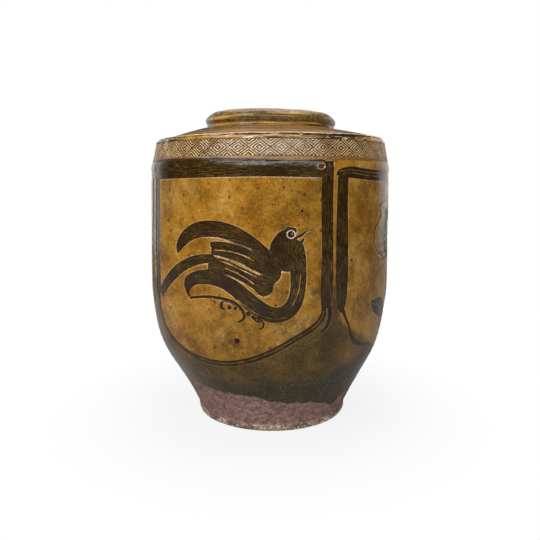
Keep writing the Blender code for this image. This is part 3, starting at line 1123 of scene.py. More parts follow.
class Finish:
    """A finish of the jar. Its paint method lays the nodes and says what the shader gets."""

    name: str

    def paint(self, bench: Bench, effects: Effects, place: Socket) -> Skin:
        """Lays the finish's nodes.

        Args:
            bench: The bench of the material's tree.
            effects: The shared effects.
            place: The Object coordinates.

        Returns:
            What the shader gets.
        """
        raise NotImplementedError

    def build(self, effects: Effects) -> bpy.types.Material:
        """Makes the finish's material.

        Args:
            effects: The shared effects.

        Returns:
            The material.
        """
        material, bench, shader, place = new_finish(self.name)
        skin = self.paint(bench, effects, place)
        bench.feed(shader.inputs["Base Color"], skin.colour)
        bench.feed(shader.inputs["Roughness"], skin.rough)
        shader.inputs["Specular IOR Level"].default_value = skin.gloss
        if skin.height is not None:
            bump = bench.node("Bump")
            bench.feed(bump.inputs["Height"], skin.height)
            bump.inputs["Strength"].default_value = skin.strength
            bump.inputs["Distance"].default_value = skin.reach
            bench.feed(shader.inputs["Normal"], bump.outputs["Normal"])
        return material


@dataclass(frozen=True)
class WallFinish(Finish):
    """Slip, glaze and bare clay, laid out by the attributes that the drawing leaves on the wall."""

    colours: WallGlaze = WallGlaze()
    smoothness: float = 0.1
    reflection: float = 0.36
    clay_roughness: float = 0.78
    name: str = "gouged_panel_glaze"

    def paint(self, bench: Bench, effects: Effects, place: Socket) -> Skin:
        """Lays glaze, ink, burrs, spots and clay over each other."""
        tone = self.colours
        cloud, grain, swell = effects.mottle(bench, place, 46.0, 560.0)
        colour = self.glaze(bench, effects, place, cloud, grain)
        cut = bench.value_of("ink")
        colour = bench.blend(bench.between(cut, 0.3, -0.3), colour, self.ink(bench, place))
        colour = bench.coat(colour, tone.burr, self.burr(bench, place, cut), 0.9)
        colour = bench.coat(colour, tone.pale, bench.between(bench.value_of("pale"), 0.2, -0.3), 0.85)
        colour = bench.blend(bench.between(bench.value_of("rust"), 0.8, -0.6), colour, tone.rust)
        colour = bench.blend(bench.between(bench.value_of("spot"), 0.7, -0.5), colour, tone.spot)
        colour = bench.coat(colour, tone.spot, effects.specks(bench, place, 150.0, 0.1), 0.6)
        glazed = bench.between(bench.value_of("above_glaze"), -0.5, 0.6)
        colour = bench.blend(glazed, self.clay(bench, effects, place), colour)
        rough = bench.times(bench.less(1.0, glazed), self.clay_roughness)
        shine = bench.plus(self.smoothness, bench.times(grain, 0.14))
        rough = bench.plus(rough, bench.times(glazed, shine))
        pits = effects.pinholes(bench, place, 300.0, 0.1)
        teeth = bench.times(self.teeth(bench), bench.between(cut, 0.2, -0.6))
        height = bench.less(swell, bench.times(pits, 0.6))
        height = bench.plus(height, bench.times(teeth, 0.5))
        return Skin(colour, rough, height, 0.55, 0.0006, self.reflection)

    def glaze(
        self, bench: Bench, effects: Effects, place: Socket, cloud: Socket, grain: Socket
    ) -> Socket:
        """The ground: amber in the panels, brown round them, dark where glaze ran and where shade is
        painted.

        Args:
            bench: The bench of the material's tree.
            effects: The shared effects.
            place: The Object coordinates.
            cloud: The glaze's clouds.
            grain: The glaze's grain.

        Returns:
            The ground's colour.
        """
        tone = self.colours
        stain_and_shade = bench.value_of("stain_and_shade")
        amber = bench.blend(bench.between(cloud, 0.0, 0.55), tone.amber_deep, tone.amber)
        amber = bench.coat(amber, tone.amber_pale, bench.between(cloud, 0.55, 1.0), 0.75)
        amber = bench.coat(amber, tone.amber_deep, grain, 0.7)
        amber = bench.strew(
            amber, place,
            (360.0, 5, 0.8, 0.55, 0.68, 0.6, tone.amber_pale),
            (300.0, 4, 0.75, 0.52, 0.66, 0.62, tone.brown_deep),
            (105.0, 6, 0.78, 0.5, 0.66, 0.42, tone.olive_deep),
        )
        # The stain map darkens the amber, both as real glaze stains and as painted shade on the right
        # side and low on the panels.
        ragged = bench.plus(bench.patches(place, 130.0, 6, 0.78, 0.36, 0.62), 0.45)
        dark = bench.times(stain_and_shade, bench.times(ragged, 1.05), clamp=True)
        amber = bench.blend(dark, amber, tone.olive_deep)
        light = bench.times(stain_and_shade, -0.9, clamp=True)
        amber = bench.blend(light, amber, tone.amber_pale)
        amber = bench.blend(self.pitted(bench, effects, place), amber, tone.brown_deep)
        brown = bench.blend(bench.times(cloud, grain), tone.brown_deep, tone.brown)
        brown = bench.strew(
            brown, place,
            (360.0, 5, 0.8, 0.55, 0.68, 0.2, tone.amber),
            (34.0, 4, 0.6, 0.48, 0.64, 0.12, tone.amber),
        )
        brown = bench.coat(brown, tone.amber, light, 0.8)
        ground = bench.blend(bench.value_of("outside"), amber, brown)
        # Below the pool line the ground turns dark olive: pooled glaze together with painted shade on
        # the down-facing lower wall.
        pool = bench.blend(cloud, tone.pool, tone.pool_and_shade_pale)
        pool = bench.strew(pool, place, (520.0, 4, 0.75, 0.56, 0.7, 0.3, tone.amber))
        pool = bench.coat(pool, tone.ash, effects.specks(bench, place, 300.0, 0.4), 0.6)
        return bench.blend(bench.between(bench.value_of("above_pool_and_shade"), 8, -8), ground, pool)

    def clay(self, bench: Bench, effects: Effects, place: Socket) -> Socket:
        """The bare clay below the glaze, with grit, sand and rusty smears."""
        tone = self.colours
        blotch = bench.patches(place, 130.0, 6, 0.74, 0.36, 0.64)
        clay = bench.blend(blotch, tone.clay_dark, tone.clay)
        clay = bench.strew(clay, place, (210.0, 5, 0.8, 0.5, 0.62, 0.5, tone.grit))
        clay = bench.coat(clay, tone.grit, effects.specks(bench, place, 230.0, 0.7), 0.8)
        return bench.strew(
            clay, place,
            (420.0, 4, 0.75, 0.6, 0.7, 0.5, tone.cream),
            (55.0, 4, 0.7, 0.62, 0.74, 0.55, tone.ochre),
        )

    @staticmethod
    def pitted(bench: Bench, effects: Effects, place: Socket) -> Socket:
        """Pits that run down the glaze in a belt under the panels' top bars."""
        height = bench.axes(place)[2]
        pits = effects.specks(bench, bench.stretched(place, 1.0, 0.55), 210.0, 0.45)
        belt = bench.between(bench.sum("ABSOLUTE", bench.less(height, 0.318)), 0.022, 0.004)
        return bench.times(pits, belt, bench.patches(place, 45.0, 2, 0.5, 0.42, 0.6))

    @staticmethod
    def burr(bench: Bench, place: Socket, cut: Socket) -> Socket:
        """The pale burr along the cuts' edges and inside the gouges, worn away in places."""
        worn = bench.plus(0.12, bench.times(bench.patches(place, 85.0, 3, 0.6, 0.3, 0.66), 0.75))
        crisp = bench.value_of("crisp")
        rim = bench.times(bench.between(cut, 0.1, 0.4), bench.between(cut, 1.15, 0.75), crisp)
        inner = bench.between(bench.value_of("burr"), 0.25, -0.2)
        inner = bench.times(inner, bench.plus(crisp, 0.15))
        return bench.times(bench.sum("MAXIMUM", rim, inner), worn)

    @staticmethod
    def teeth(bench: Bench) -> Socket:
        """The fine ridges that the gouge's teeth leave along a stroke, from 0 to 1."""
        along = bench.times(bench.value_of("comb_along"), 0.07)
        return bench.noise(bench.vector(bench.value_of("comb_across"), along, 0.0), 0.95, 2.5, 0.6)

    def ink(self, bench: Bench, place: Socket) -> Socket:
        """The dark glaze that has pooled in the gouges, streaked along each stroke, with a painted
        shadow inside each cut's edge.
        """
        tone = self.colours
        streak = bench.between(self.teeth(bench), 0.42, 0.7)
        thin = bench.plus(0.15, bench.patches(place, 34.0, 3, 0.6, 0.3, 0.7))
        speckle = bench.plus(0.3, bench.patches(place, 520.0, 2, 0.6, 0.35, 0.65))
        colour = bench.blend(bench.times(streak, thin, speckle), tone.ink, tone.ink_pale)
        # Darker just inside each cut's edge and along the seams between strokes: pooled glaze with a
        # painted shadow line.
        near = bench.between(bench.value_of("ink"), -1.5, -0.3)
        colour = bench.coat(colour, tone.ink_edge_and_shadow, near, 0.85)
        seam = bench.value_of("seam")
        colour = bench.coat(colour, tone.ink_edge_and_shadow, bench.between(seam, 1.5, 0.7), 0.7)
        return bench.coat(colour, tone.burr, bench.between(seam, 0.45, 0.15), 0.35)


@dataclass(frozen=True)
class InnerFinish(Finish):
    """The dark glaze of the inside."""

    colours: WallGlaze = WallGlaze()
    name: str = "inner_glaze"

    def paint(self, bench: Bench, effects: Effects, place: Socket) -> Skin:
        """Lays the clouds of the dark glaze."""
        cloud, _, swell = effects.mottle(bench, place, 30.0, 300.0)
        colour = bench.blend(cloud, self.colours.inside, self.colours.ink_pale)
        return Skin(colour, 0.35, swell, 0.3, 0.0004)


def new_object(name: str, mesh: bpy.types.Mesh) -> bpy.types.Object:
    """Puts a mesh in the scene under its name."""
    mesh.name = name
    piece = bpy.data.objects.new(name, mesh)
    bpy.context.scene.collection.objects.link(piece)
    return piece


def hand_over(piece: bpy.types.Object, nodes: tuple[str, ...]) -> bpy.types.Object:
    """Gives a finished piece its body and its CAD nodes.

    Args:
        piece: The finished piece.
        nodes: The CAD nodes that it stands for.

    Returns:
        The piece.
    """
    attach(piece, BODY)
    if nodes:
        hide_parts(*nodes)
    piece.data.calc_loop_triangles()
    LOG.info("%s: %d triangles", piece.name, len(piece.data.loop_triangles))
    return piece


def keep_values(mesh: bpy.types.Mesh, values: dict[str, np.ndarray]) -> None:
    """Stores one value for each vertex under each name."""
    for name, numbers in values.items():
        attribute = mesh.attributes.new(name, "FLOAT", "POINT")
        attribute.data.foreach_set("value", np.asarray(numbers, np.float32))


def mesh_points(mesh: bpy.types.Mesh) -> np.ndarray:
    """The places of a mesh's vertices."""
    return np.array([vertex.co for vertex in mesh.vertices])


def move_points(mesh: bpy.types.Mesh, points: np.ndarray) -> None:
    """Moves a mesh's vertices to some places."""
    mesh.vertices.foreach_set("co", points.astype(np.float32).ravel())


def rest_on_floor(mesh: bpy.types.Mesh) -> None:
    """Lifts what lies below the level that the jar stands on."""
    points = mesh_points(mesh)
    points[:, 2] = np.maximum(points[:, 2], 0)
    move_points(mesh, points)


def unrolled(points: np.ndarray) -> np.ndarray:
    """Where points in metres lie on the chart, in millimetres."""
    along = np.arctan2(points[:, 0], -points[:, 1]) * CHART_RADIUS
    return np.stack([along, points[:, 2] / MM], 1)


@dataclass
class GougedWall:
    """The lower wall and the panel wall, whose outer skin carries the drawings of all four panels."""

    form: JarForm
    camera: PhotoCamera
    grid: float = 4.2
    boundary_steps: int = 400
    clearance: float = 0.9
    edge_reach: float = 1.6
    closest: float = 0.75
    panels_start: float = -56.0
    pool_and_shade_level: float = 82.0
    edge_offsets: tuple[float, ...] = (-1.15, -0.4, 0.35, 1.2)
    gouge_depth: float = 0.6
    burr_height: float = 0.3
    dent: float = 0.5
    throwing_ring: float = 0.16
    glaze_coat: float = 0.35
    panel_thickness: float = 9.5
    lower_thickness: float = 11.0
    inner_rows: int = 24
    glaze_line: Pixels = (
        (-180, 57), (-170, 55), (-150, 63), (-130, 66), (-110, 60), (-90, 64), (-72, 61),
        (-56, 62.6), (-37.6, 59.2), (-11.3, 56.9), (0, 50), (9.3, 45.9), (18, 45), (26, 41.6),
        (36, 36), (45.9, 28.2), (52, 36), (58.7, 45.1), (70, 51), (81.1, 53.7), (95, 58),
        (110, 60), (130, 54), (150, 48), (165, 54), (180, 57),
    )
    pool_and_shade_pixels: Pixels = (
        (188, 380), (217, 380), (237, 385), (257, 383), (267, 380), (292, 380), (317, 378),
        (333, 370), (355, 363),
    )
    spots: tuple[tuple[float, float, float], ...] = (
        (697, 1090, 20), (1216, 48, 9), (617, 88, 7), (98, 508, 9), (205, 680, 7),
        (637, 967, 7), (152, 35, 6), (407, 1305, 8), (1220, 728, 6), (925, 545, 7),
    )
    rust_spots: tuple[tuple[float, float, float], ...] = (
        (697, 1092, 27), (927, 1115, 9), (1070, 1152, 7), (98, 506, 12),
    )
    side_spots: tuple[tuple[float, float, float], ...] = (
        (305, 945, 15), (272, 490, 5), (400, 75, 6), (15, 425, 6), (170, 878, 6),
    )
    # Stains as (pixel x, pixel y, reach, strength). The small ones are the glaze's own stains. The two
    # broadest, and the large ones low on the panel and at its right, are painted shade that darkens the
    # right side and the foot of the panels. Negative strengths lighten the glaze towards pale amber.
    stains_and_shade: tuple[tuple[float, float, float, float], ...] = (
        (309, 199, 6.0, 0.6), (306, 213, 4.0, 0.55), (317, 190, 9.0, 0.45), (290, 188, 7.0, 0.45),
        (265, 192, 6.0, 0.35), (272, 203, 5.0, 0.45), (278, 214, 5.0, 0.5), (283, 224, 4.0, 0.45),
        (297, 200, 12.0, 0.35), (312, 230, 13.0, 0.42), (300, 192, 5.0, 0.5),
        (355, 195, 8.0, 0.7), (365, 190, 9.0, 0.65), (375, 187, 6.0, 0.4), (347, 310, 6.0, 0.3),
        (352, 225, 10.0, 0.35), (312, 262, 6.0, 0.3),
        (312, 285, 6.0, 0.25), (240, 215, 8.0, 0.12), (235, 345, 28.0, 0.58), (262, 350, 18.0, 0.5),
        (285, 325, 22.0, 0.62), (321, 250, 13.0, 0.55), (320, 290, 15.0, 0.6), (306, 330, 14.0, 0.58),
        (346, 352, 14.0, -0.45), (300, 365, 14.0, -0.2), (186, 352, 10.0, -0.35), (225, 368, 12.0, -0.2),
        (325, 205, 12.0, 0.42), (362, 305, 20.0, 0.68), (352, 270, 14.0, 0.45), (375, 250, 14.0, 0.45),
        (172, 196, 14.0, -0.5), (190, 182, 12.0, -0.35), (225, 185, 10.0, -0.25),
        (165, 330, 9.0, -0.3), (220, 300, 10.0, -0.15), (350, 255, 60.0, 0.36),
        (300, 345, 50.0, 0.34),
    )

    def build(self, finish: bpy.types.Material, inside: bpy.types.Material) -> list[bpy.types.Object]:
        """Makes the two walls.

        Args:
            finish: The material of the outer skin.
            inside: The material of the inner skin.

        Returns:
            The lower wall's piece and the panel wall's.
        """
        marks = self.all_marks()
        places, faces, boundary = self.mesh_chart(marks)
        values = self.lay_out(places, marks)
        points = self.form_points(places, values)
        skin = bpy.data.meshes.new("wall_skin")
        skin.from_pydata(points.tolist(), [], faces.tolist())
        normals = np.empty(len(points) * 3, np.float32)
        skin.vertex_normals.foreach_get("vector", normals)
        normals = normals.reshape(-1, 3)
        bpy.data.meshes.remove(skin)
        middle = places[faces][:, :, 1].mean(1)
        pieces = []
        form = self.form
        for name, node, slot, chosen, low, high, inner in (
            (
                "glazed_lower_wall", "lower_wall", "dark_glaze", middle < form.seam[1],
                boundary["foot"], boundary["seam"],
                self.inner_line(form.wall_foot, form.seam, self.lower_thickness),
            ),
            (
                "gouged_panel_wall", "panel_wall", "amber_glaze", middle >= form.seam[1],
                boundary["seam"], boundary["top"],
                self.inner_line(form.seam, form.band_foot, self.panel_thickness),
            ),
        ):
            mesh = self.close_wall(points, normals, values, faces[chosen], low, high, inner)
            mesh.materials.append(finish)
            mesh.materials.append(inside)
            pieces.append(hand_over(new_object(name, mesh), (node,)))
        return pieces

    def all_marks(self) -> list[Mark]:
        """The marks of the four panels, with copies where one crosses the chart's ends."""
        bird = BirdPanel(self.form, self.camera).draw().marks
        sprig = SprigPanel(self.form, self.camera).draw().marks
        middle = math.radians(SprigPanel.centre) * CHART_RADIUS
        back = [mark.moved(Placing(2 * middle, True)) for mark in bird]
        left = [mark.moved(Placing(-CHART_TURN / 2)) for mark in sprig]
        marks = []
        for mark in [*bird, *sprig, *back, *left]:
            low, high = mark.reach()
            for along in (-CHART_TURN, 0, CHART_TURN):
                if low[0] + along < CHART_TURN / 2 and high[0] + along > -CHART_TURN / 2:
                    marks.append(mark.moved(Placing(along)))
        return marks

    def mesh_chart(self, marks: list[Mark]) -> tuple[np.ndarray, np.ndarray, dict[str, np.ndarray]]:
        """Meshes the chart, finely along the edges of the marks and coarsely between them.

        Args:
            marks: The marks of all panels.

        Returns:
            The places, the triangles, and for each level edge its places in order.
        """
        form = self.form
        half = CHART_TURN / 2
        levels = {"foot": form.wall_foot[1], "seam": form.seam[1], "top": form.band_foot[1]}
        low, seam, top = levels.values()
        heights = np.linspace(low, top, round((top - low) / self.grid) + 1)[1:-1]
        turn = np.linspace(-half, half, self.boundary_steps + 1)
        corners, joints = [], []
        for height in (low, seam, top):
            joints += [(len(corners) + i, len(corners) + i + 1) for i in range(len(turn) - 1)]
            corners += [(along, height) for along in turn]
        level = len(turn)
        for end, offset in ((-half, 0), (half, level - 1)):
            chain = [(low, offset), (seam, level + offset), (top, 2 * level + offset)]
            for height in heights[np.abs(heights - seam) > self.clearance]:
                chain.append((height, len(corners)))
                corners.append((end, height))
            chain.sort()
            joints += [(a[1], b[1]) for a, b in zip(chain, chain[1:])]
        every = np.vstack([np.array(corners), self.inner_places(marks, heights)])
        found = delaunay_2d_cdt([Vector(p) for p in every], joints, [], 0, 1e-4)
        faces = np.array([tuple(f) for f in found[2] if len(f) == 3])
        places, faces = self.wrap_chart(np.array([tuple(v) for v in found[0]]), faces)
        boundary = {}
        for name, height in levels.items():
            chosen = np.where(np.abs(places[:, 1] - height) < 1e-4)[0]
            boundary[name] = chosen[np.argsort(places[chosen, 0])]
        return places, faces, boundary

    def inner_places(self, marks: list[Mark], heights: np.ndarray) -> np.ndarray:
        """Places in the chart: rows along the edges that show, and a grid between them.

        Args:
            marks: The marks of all panels.
            heights: The heights of the grid's rows.

        Returns:
            The places, clear of each other and of the chart's own edges.
        """
        half = CHART_TURN / 2
        low, seam, top = self.form.wall_foot[1], self.form.seam[1], self.form.band_foot[1]
        rows = np.vstack([mark.edge_rows(self.edge_offsets) for mark in marks])
        columns = round(CHART_TURN / self.grid)
        grid = [
            (-half + CHART_TURN * (column + 0.5 * (row % 2)) / columns, height)
            for row, height in enumerate(heights)
            for column in range(columns)
        ]
        places = np.vstack([rows, np.array(grid + self.glaze_edge_rows())])
        from_rows = np.arange(len(places)) < len(rows)
        clear = (np.abs(places[:, 0]) < half - self.clearance) & (places[:, 1] > low + self.clearance)
        clear &= places[:, 1] < top - self.clearance
        clear &= np.abs(places[:, 1] - seam) > self.clearance
        places, from_rows = places[clear], from_rows[clear]
        cuts = self.cut_depths(places, marks)
        edge = np.minimum(np.abs(cuts["ink"]), np.minimum(cuts["burr"], cuts["seam"]))
        places = places[~from_rows | (edge < self.edge_reach)]
        cell = np.round(places / self.closest).astype(int)
        _, first = np.unique(cell, axis=0, return_index=True)
        return places[np.sort(first)]

    @staticmethod
    def wrap_chart(places: np.ndarray, faces: np.ndarray) -> tuple[np.ndarray, np.ndarray]:
        """Welds the chart's right end to its left end, and turns all triangles one way.

        Args:
            places: The chart's places.
            faces: Its triangles.

        Returns:
            The places that are left, and the triangles.
        """
        half = CHART_TURN / 2
        weld = np.arange(len(places))
        right = np.where(places[:, 0] > half - 1e-3)[0]
        left = np.where(places[:, 0] < -half + 1e-3)[0]
        left = left[np.argsort(places[left, 1])]
        for vertex in right:
            weld[vertex] = left[np.argmin(np.abs(places[left, 1] - places[vertex, 1]))]
        used, faces = np.unique(weld[faces], return_inverse=True)
        faces = faces.reshape(-1, 3)
        places = places[used]
        first, second, third = (places[faces[:, corner]] for corner in range(3))
        sides = []
        for corner in (second, third):
            side = corner - first
            side[:, 0] = (side[:, 0] + half) % CHART_TURN - half
            sides.append(side)
        turned = sides[0][:, 0] * sides[1][:, 1] - sides[0][:, 1] * sides[1][:, 0]
        faces[turned < 0] = faces[turned < 0][:, ::-1]
        return places, faces

    def glaze_edge_rows(self) -> list[tuple[float, float]]:
        """Places along the glaze's lower edge."""
        along = np.arange(-CHART_TURN / 2, CHART_TURN / 2, 2.2)
        line = self.glaze_height(along)
        return [(x, y + offset) for offset in (-0.9, -0.1, 0.7, 1.7) for x, y in zip(along, line)]

    def glaze_height(self, along: np.ndarray) -> np.ndarray:
        """The height of the glaze's lower edge at some places along the chart."""
        degrees, heights = np.array(self.glaze_line).T
        line = np.interp(np.degrees(along / CHART_RADIUS), degrees, heights)
        ripple = lattice_noise(along, np.full(len(along), 5.0), (9, 100), 11) * 1.6
        return line + ripple + lattice_noise(along, np.full(len(along), 5.0), (4, 100), 12) * 0.7

    def cut_depths(self, places: np.ndarray, marks: list[Mark]) -> dict[str, np.ndarray]:
        """Lays the marks over each other.

        Args:
            places: The places to measure at.
            marks: The marks, in the order that they were made.

        Returns:
            For each place, how far outside the gouges, the burrs, the pale pools and any mark's
            edge it is, and how far across and along the stroke that it lies in.
        """
        ink, burr, pale, seam = (np.full(len(places), 9.0) for _ in range(4))
        across, along = np.zeros(len(places)), np.zeros(len(places))
        for number, mark in enumerate(marks):
            low, high = mark.reach()
            near = np.where(np.all((places > low) & (places < high), axis=1))[0]
            if not len(near):
                continue
            distance = mark.distance(places[near])
            if mark.tool is Tool.BURR:
                burr[near] = np.minimum(burr[near], distance)
                continue
            seam[near] = np.where(distance < 0, -distance, np.minimum(seam[near], np.abs(distance)))
            if mark.tool is Tool.GOUGE:
                ink[near] = np.minimum(ink[near], distance)
                burr[near] = np.maximum(burr[near], -distance)
                pale[near] = np.maximum(pale[near], -distance)
                if mark.comb is not None:
                    inside = near[distance < 1.2]
                    _, side, run = line_distance(places[inside], mark.comb, np.zeros(len(mark.comb)))
                    across[inside], along[inside] = side + 37.0 * (number % 29), run
                continue
            ink[near] = np.maximum(ink[near], -distance)
            burr[near] = np.maximum(burr[near], -distance)
            if mark.tool is Tool.PALE:
                pale[near] = np.minimum(pale[near], distance)
        return {
            "ink": np.clip(ink, -6, 6),
            "burr": np.clip(burr, -6, 6),
            "pale": np.clip(pale, -6, 6),
            "seam": np.clip(seam, 0, 6),
            "comb_across": across,
            "comb_along": along,
        }

    def lay_out(self, places: np.ndarray, marks: list[Mark]) -> dict[str, np.ndarray]:
        """Works out what the shader and the relief need at each place of the chart.

        Args:
            places: The places.
            marks: The marks.

        Returns:
            The values, by attribute name.
        """
        values = self.cut_depths(places, marks)
        s, h = places.T
        values["above_glaze"] = np.clip(h - self.glaze_height(s), -9, 9)
        # The line below which the wall goes dark olive, as pooled glaze and as painted shade.
        pool = self.form.chart(self.camera, np.array(self.pool_and_shade_pixels, float))
        order = np.argsort(pool[:, 0])
        knots = np.concatenate([[-CHART_TURN / 2], pool[order, 0], [CHART_TURN / 2]])
        levels = np.concatenate([[self.pool_and_shade_level], pool[order, 1], [self.pool_and_shade_level]])
        line = np.interp(s, knots, levels) + lattice_noise(s, h, (30, 60), 21) * 6
        values["above_pool_and_shade"] = np.clip(h - line, -30, 30)
        values["outside"] = self.outside_share(s, h)
        values["crisp"] = self.crisp_share(s, h)
        front = self.spot_edge(places, BIRD_SHEET, self.spots)
        side = self.spot_edge(places, SIDE_SHEET, self.side_spots)
        rust = self.spot_edge(places, BIRD_SHEET, self.rust_spots)
        ragged = lattice_noise(s, h, (3.5, 3.5), 31) * 0.5
        values["spot"] = np.clip(np.minimum(front, side) + ragged, -6, 6)
        values["rust"] = np.clip(rust + ragged, -6, 6)
        # Glaze stains and painted shade in one map: positive values darken the amber towards olive,
        # negative ones lighten it.
        stain_and_shade, light = np.zeros(len(places)), np.zeros(len(places))
        for x, y, reach, strength in self.stains_and_shade:
            for gap in self.gaps(places, (x, y)):
                gap = gap / (reach / PIXELS_PER_MM)
                stain_and_shade = np.maximum(stain_and_shade, strength * np.exp(-gap * gap))
                light = np.maximum(light, -strength * np.exp(-gap * gap))
        stain_and_shade = (stain_and_shade - light) * (0.75 + 0.5 * lattice_noise(s, h, (6, 9), 41))
        values["stain_and_shade"] = np.clip(stain_and_shade, -1, 1)
        return values

    def gaps(self, places: np.ndarray, pixel: tuple[float, float]) -> list[np.ndarray]:
        """How far places are from a pixel's place, and from its copy on the back."""
        middle = self.form.chart(self.camera, np.array([pixel], float))[0]
        copies = (middle, Placing(-CHART_TURN / 2).apply(middle))
        return [np.linalg.norm(places - copy, axis=1) for copy in copies]

    def spot_edge(
        self, places: np.ndarray, sheet: Enlargement, spots: tuple[tuple[float, float, float], ...]
    ) -> np.ndarray:
        """How far places are outside the nearest of some spots, traced on an enlargement."""
        nearest = np.full(len(places), 9.0)
        for x, y, radius in spots:
            for gap in self.gaps(places, sheet.pixels(((x, y),))[0]):
                nearest = np.minimum(nearest, gap - radius / sheet.zoom / PIXELS_PER_MM)
        return nearest

    def crisp_share(self, s: np.ndarray, h: np.ndarray) -> np.ndarray:
        """How much of the cut edges' pale burr shows: all on the birds, little on the frames."""
        quarter = CHART_TURN / 4
        first = math.radians(self.panels_start) * CHART_RADIUS
        near, far = math.radians(74) * CHART_RADIUS, math.radians(75) * CHART_RADIUS
        local = (s - first + CHART_TURN) % quarter
        inside = smooth_step(local, 0, 3) * smooth_step(-local, -far, -near)
        inside *= smooth_step(h, 172, 198) * smooth_step(-h, -334, -330)
        sprig = np.floor((s - first + CHART_TURN) / quarter).astype(int) % 2
        return np.where(sprig == 1, 0.2 + 0.35 * inside, 0.2 + 0.8 * inside)

    def outside_share(self, s: np.ndarray, h: np.ndarray) -> np.ndarray:
        """How brown the ground is: 0 in the amber of the panels, and 1 below their feet."""
        foot = BirdPanel(self.form, self.camera).place(BIRD_SHEET, BirdPanel.foot_outline)
        foot = foot[np.argsort(foot[:, 0])]
        first, last = math.radians(-64.2) * CHART_RADIUS, math.radians(27.9) * CHART_RADIUS
        quarter = CHART_TURN / 4
        share = np.zeros(len(s))
        for turn in range(4):
            local = (s - first - turn * quarter + CHART_TURN) % CHART_TURN + first
            here = local < last + 3
            x = 2 * math.radians(-18.1) * CHART_RADIUS - local if turn % 2 else local
            line = np.interp(x, foot[:, 0], foot[:, 1], left=205, right=205)
            share = np.where(here, 1 - smooth_step(h - line, -5, 1), share)
        return share

    def form_points(self, places: np.ndarray, values: dict[str, np.ndarray]) -> np.ndarray:
        """Stands the chart up as the jar's outer skin, with its relief.

        Args:
            places: The chart's places.
            values: The values laid out on it.

        Returns:
            The points, in metres.
        """
        s, h = places.T
        radius = self.form.wall_radius(h)
        ends = np.minimum(h - self.form.wall_foot[1], self.form.band_foot[1] - h)
        free = smooth_step(ends, 0, 6)
        cut = smooth_step(-values["ink"], -0.45, 0.45)
        burr = np.exp(-(((values["ink"] - 0.75) / 0.4) ** 2)) * values["crisp"]
        burr = np.maximum(burr, 1.4 * smooth_step(-values["burr"], -0.4, 0.3) * cut)
        coat = smooth_step(values["above_glaze"], -0.4, 1.2)
        lump = np.exp(-(((values["above_glaze"] - 1.6) / 1.6) ** 2))
        dents = lattice_noise(s, h, (75, 60), 3) + 0.4 * lattice_noise(s, h, (28, 22), 4)
        wave = np.sin(h / 9.5 * math.tau + 1.6 * lattice_noise(s, h, (120, 30), 5))
        relief = -self.gouge_depth * cut + self.burr_height * burr
        relief += self.glaze_coat * (coat - 0.5) + 0.25 * lump
        relief += self.dent * dents * 0.8 + self.throwing_ring * wave
        relief += 0.1 * lattice_noise(s, h, (5, 5), 6)
        radius = radius + relief * free
        turn = s / CHART_RADIUS
        points = np.stack([radius * np.sin(turn), -radius * np.cos(turn), h], 1) * MM
        return self.form.stand(points)

    def inner_line(
        self, low: tuple[float, float], high: tuple[float, float], thickness: float
    ) -> np.ndarray:
        """The inner skin's line behind a wall, from its foot up."""
        heights = np.linspace(low[1], high[1], self.inner_rows + 1)
        radii = self.form.wall_radius(heights) - thickness
        return np.stack([radii, heights], 1)

    def close_wall(
        self,
        points: np.ndarray,
        normals: np.ndarray,
        values: dict[str, np.ndarray],
        faces: np.ndarray,
        low: np.ndarray,
        high: np.ndarray,
        inner: np.ndarray,
    ) -> bpy.types.Mesh:
        """Closes a stretch of the outer skin with level edges and an inner skin.

        Args:
            points: The outer skin's points.
            normals: Their normals, across the whole skin.
            values: The values laid out on them.
            faces: The stretch's triangles.
            low: Its lower edge, in order.
            high: Its upper edge, in order.
            inner: The inner skin's line.

        Returns:
            The closed mesh, with the inner skin in its second material slot.
        """
        used = np.unique(faces)
        order = np.full(len(points), -1)
        order[used] = np.arange(len(used))
        turn = np.arctan2(points[low, 0], -points[low, 1])
        rings = []
        for radius, height in inner:
            ring = np.stack(
                [radius * np.sin(turn), -radius * np.cos(turn), np.full(len(turn), height)], 1
            )
            rings.append(self.form.stand(ring * MM))
        steps = len(low)
        first = len(used)
        skin = [order[face].tolist() for face in faces]
        back = []
        follow = (np.arange(steps) + 1) % steps
        chains = [order[low]]
        chains += [first + row * steps + np.arange(steps) for row in range(len(rings))]
        chains.append(order[high])
        for below, above in zip(chains, chains[1:]):
            quads = np.stack([below, above, above[follow], below[follow]], 1)
            back += quads.tolist()
        mesh = bpy.data.meshes.new("wall")
        mesh.from_pydata(np.vstack([points[used], *rings]).tolist(), [], skin + back)
        slots = np.zeros(len(mesh.polygons), np.int32)
        slots[len(skin) :] = 1
        mesh.polygons.foreach_set("material_index", slots)
        mesh.shade_smooth()
        filled = {
            name: np.concatenate([numbers[used], np.full(len(rings) * steps, 9.0)])
            for name, numbers in values.items()
        }
        keep_values(mesh, filled)
        natural = np.empty(len(mesh.vertices) * 3, np.float32)
        mesh.vertex_normals.foreach_get("vector", natural)
        natural = natural.reshape(-1, 3)
        natural[: len(used)] = normals[used]
        mesh.normals_split_custom_set_from_vertices(natural.tolist())
        return mesh


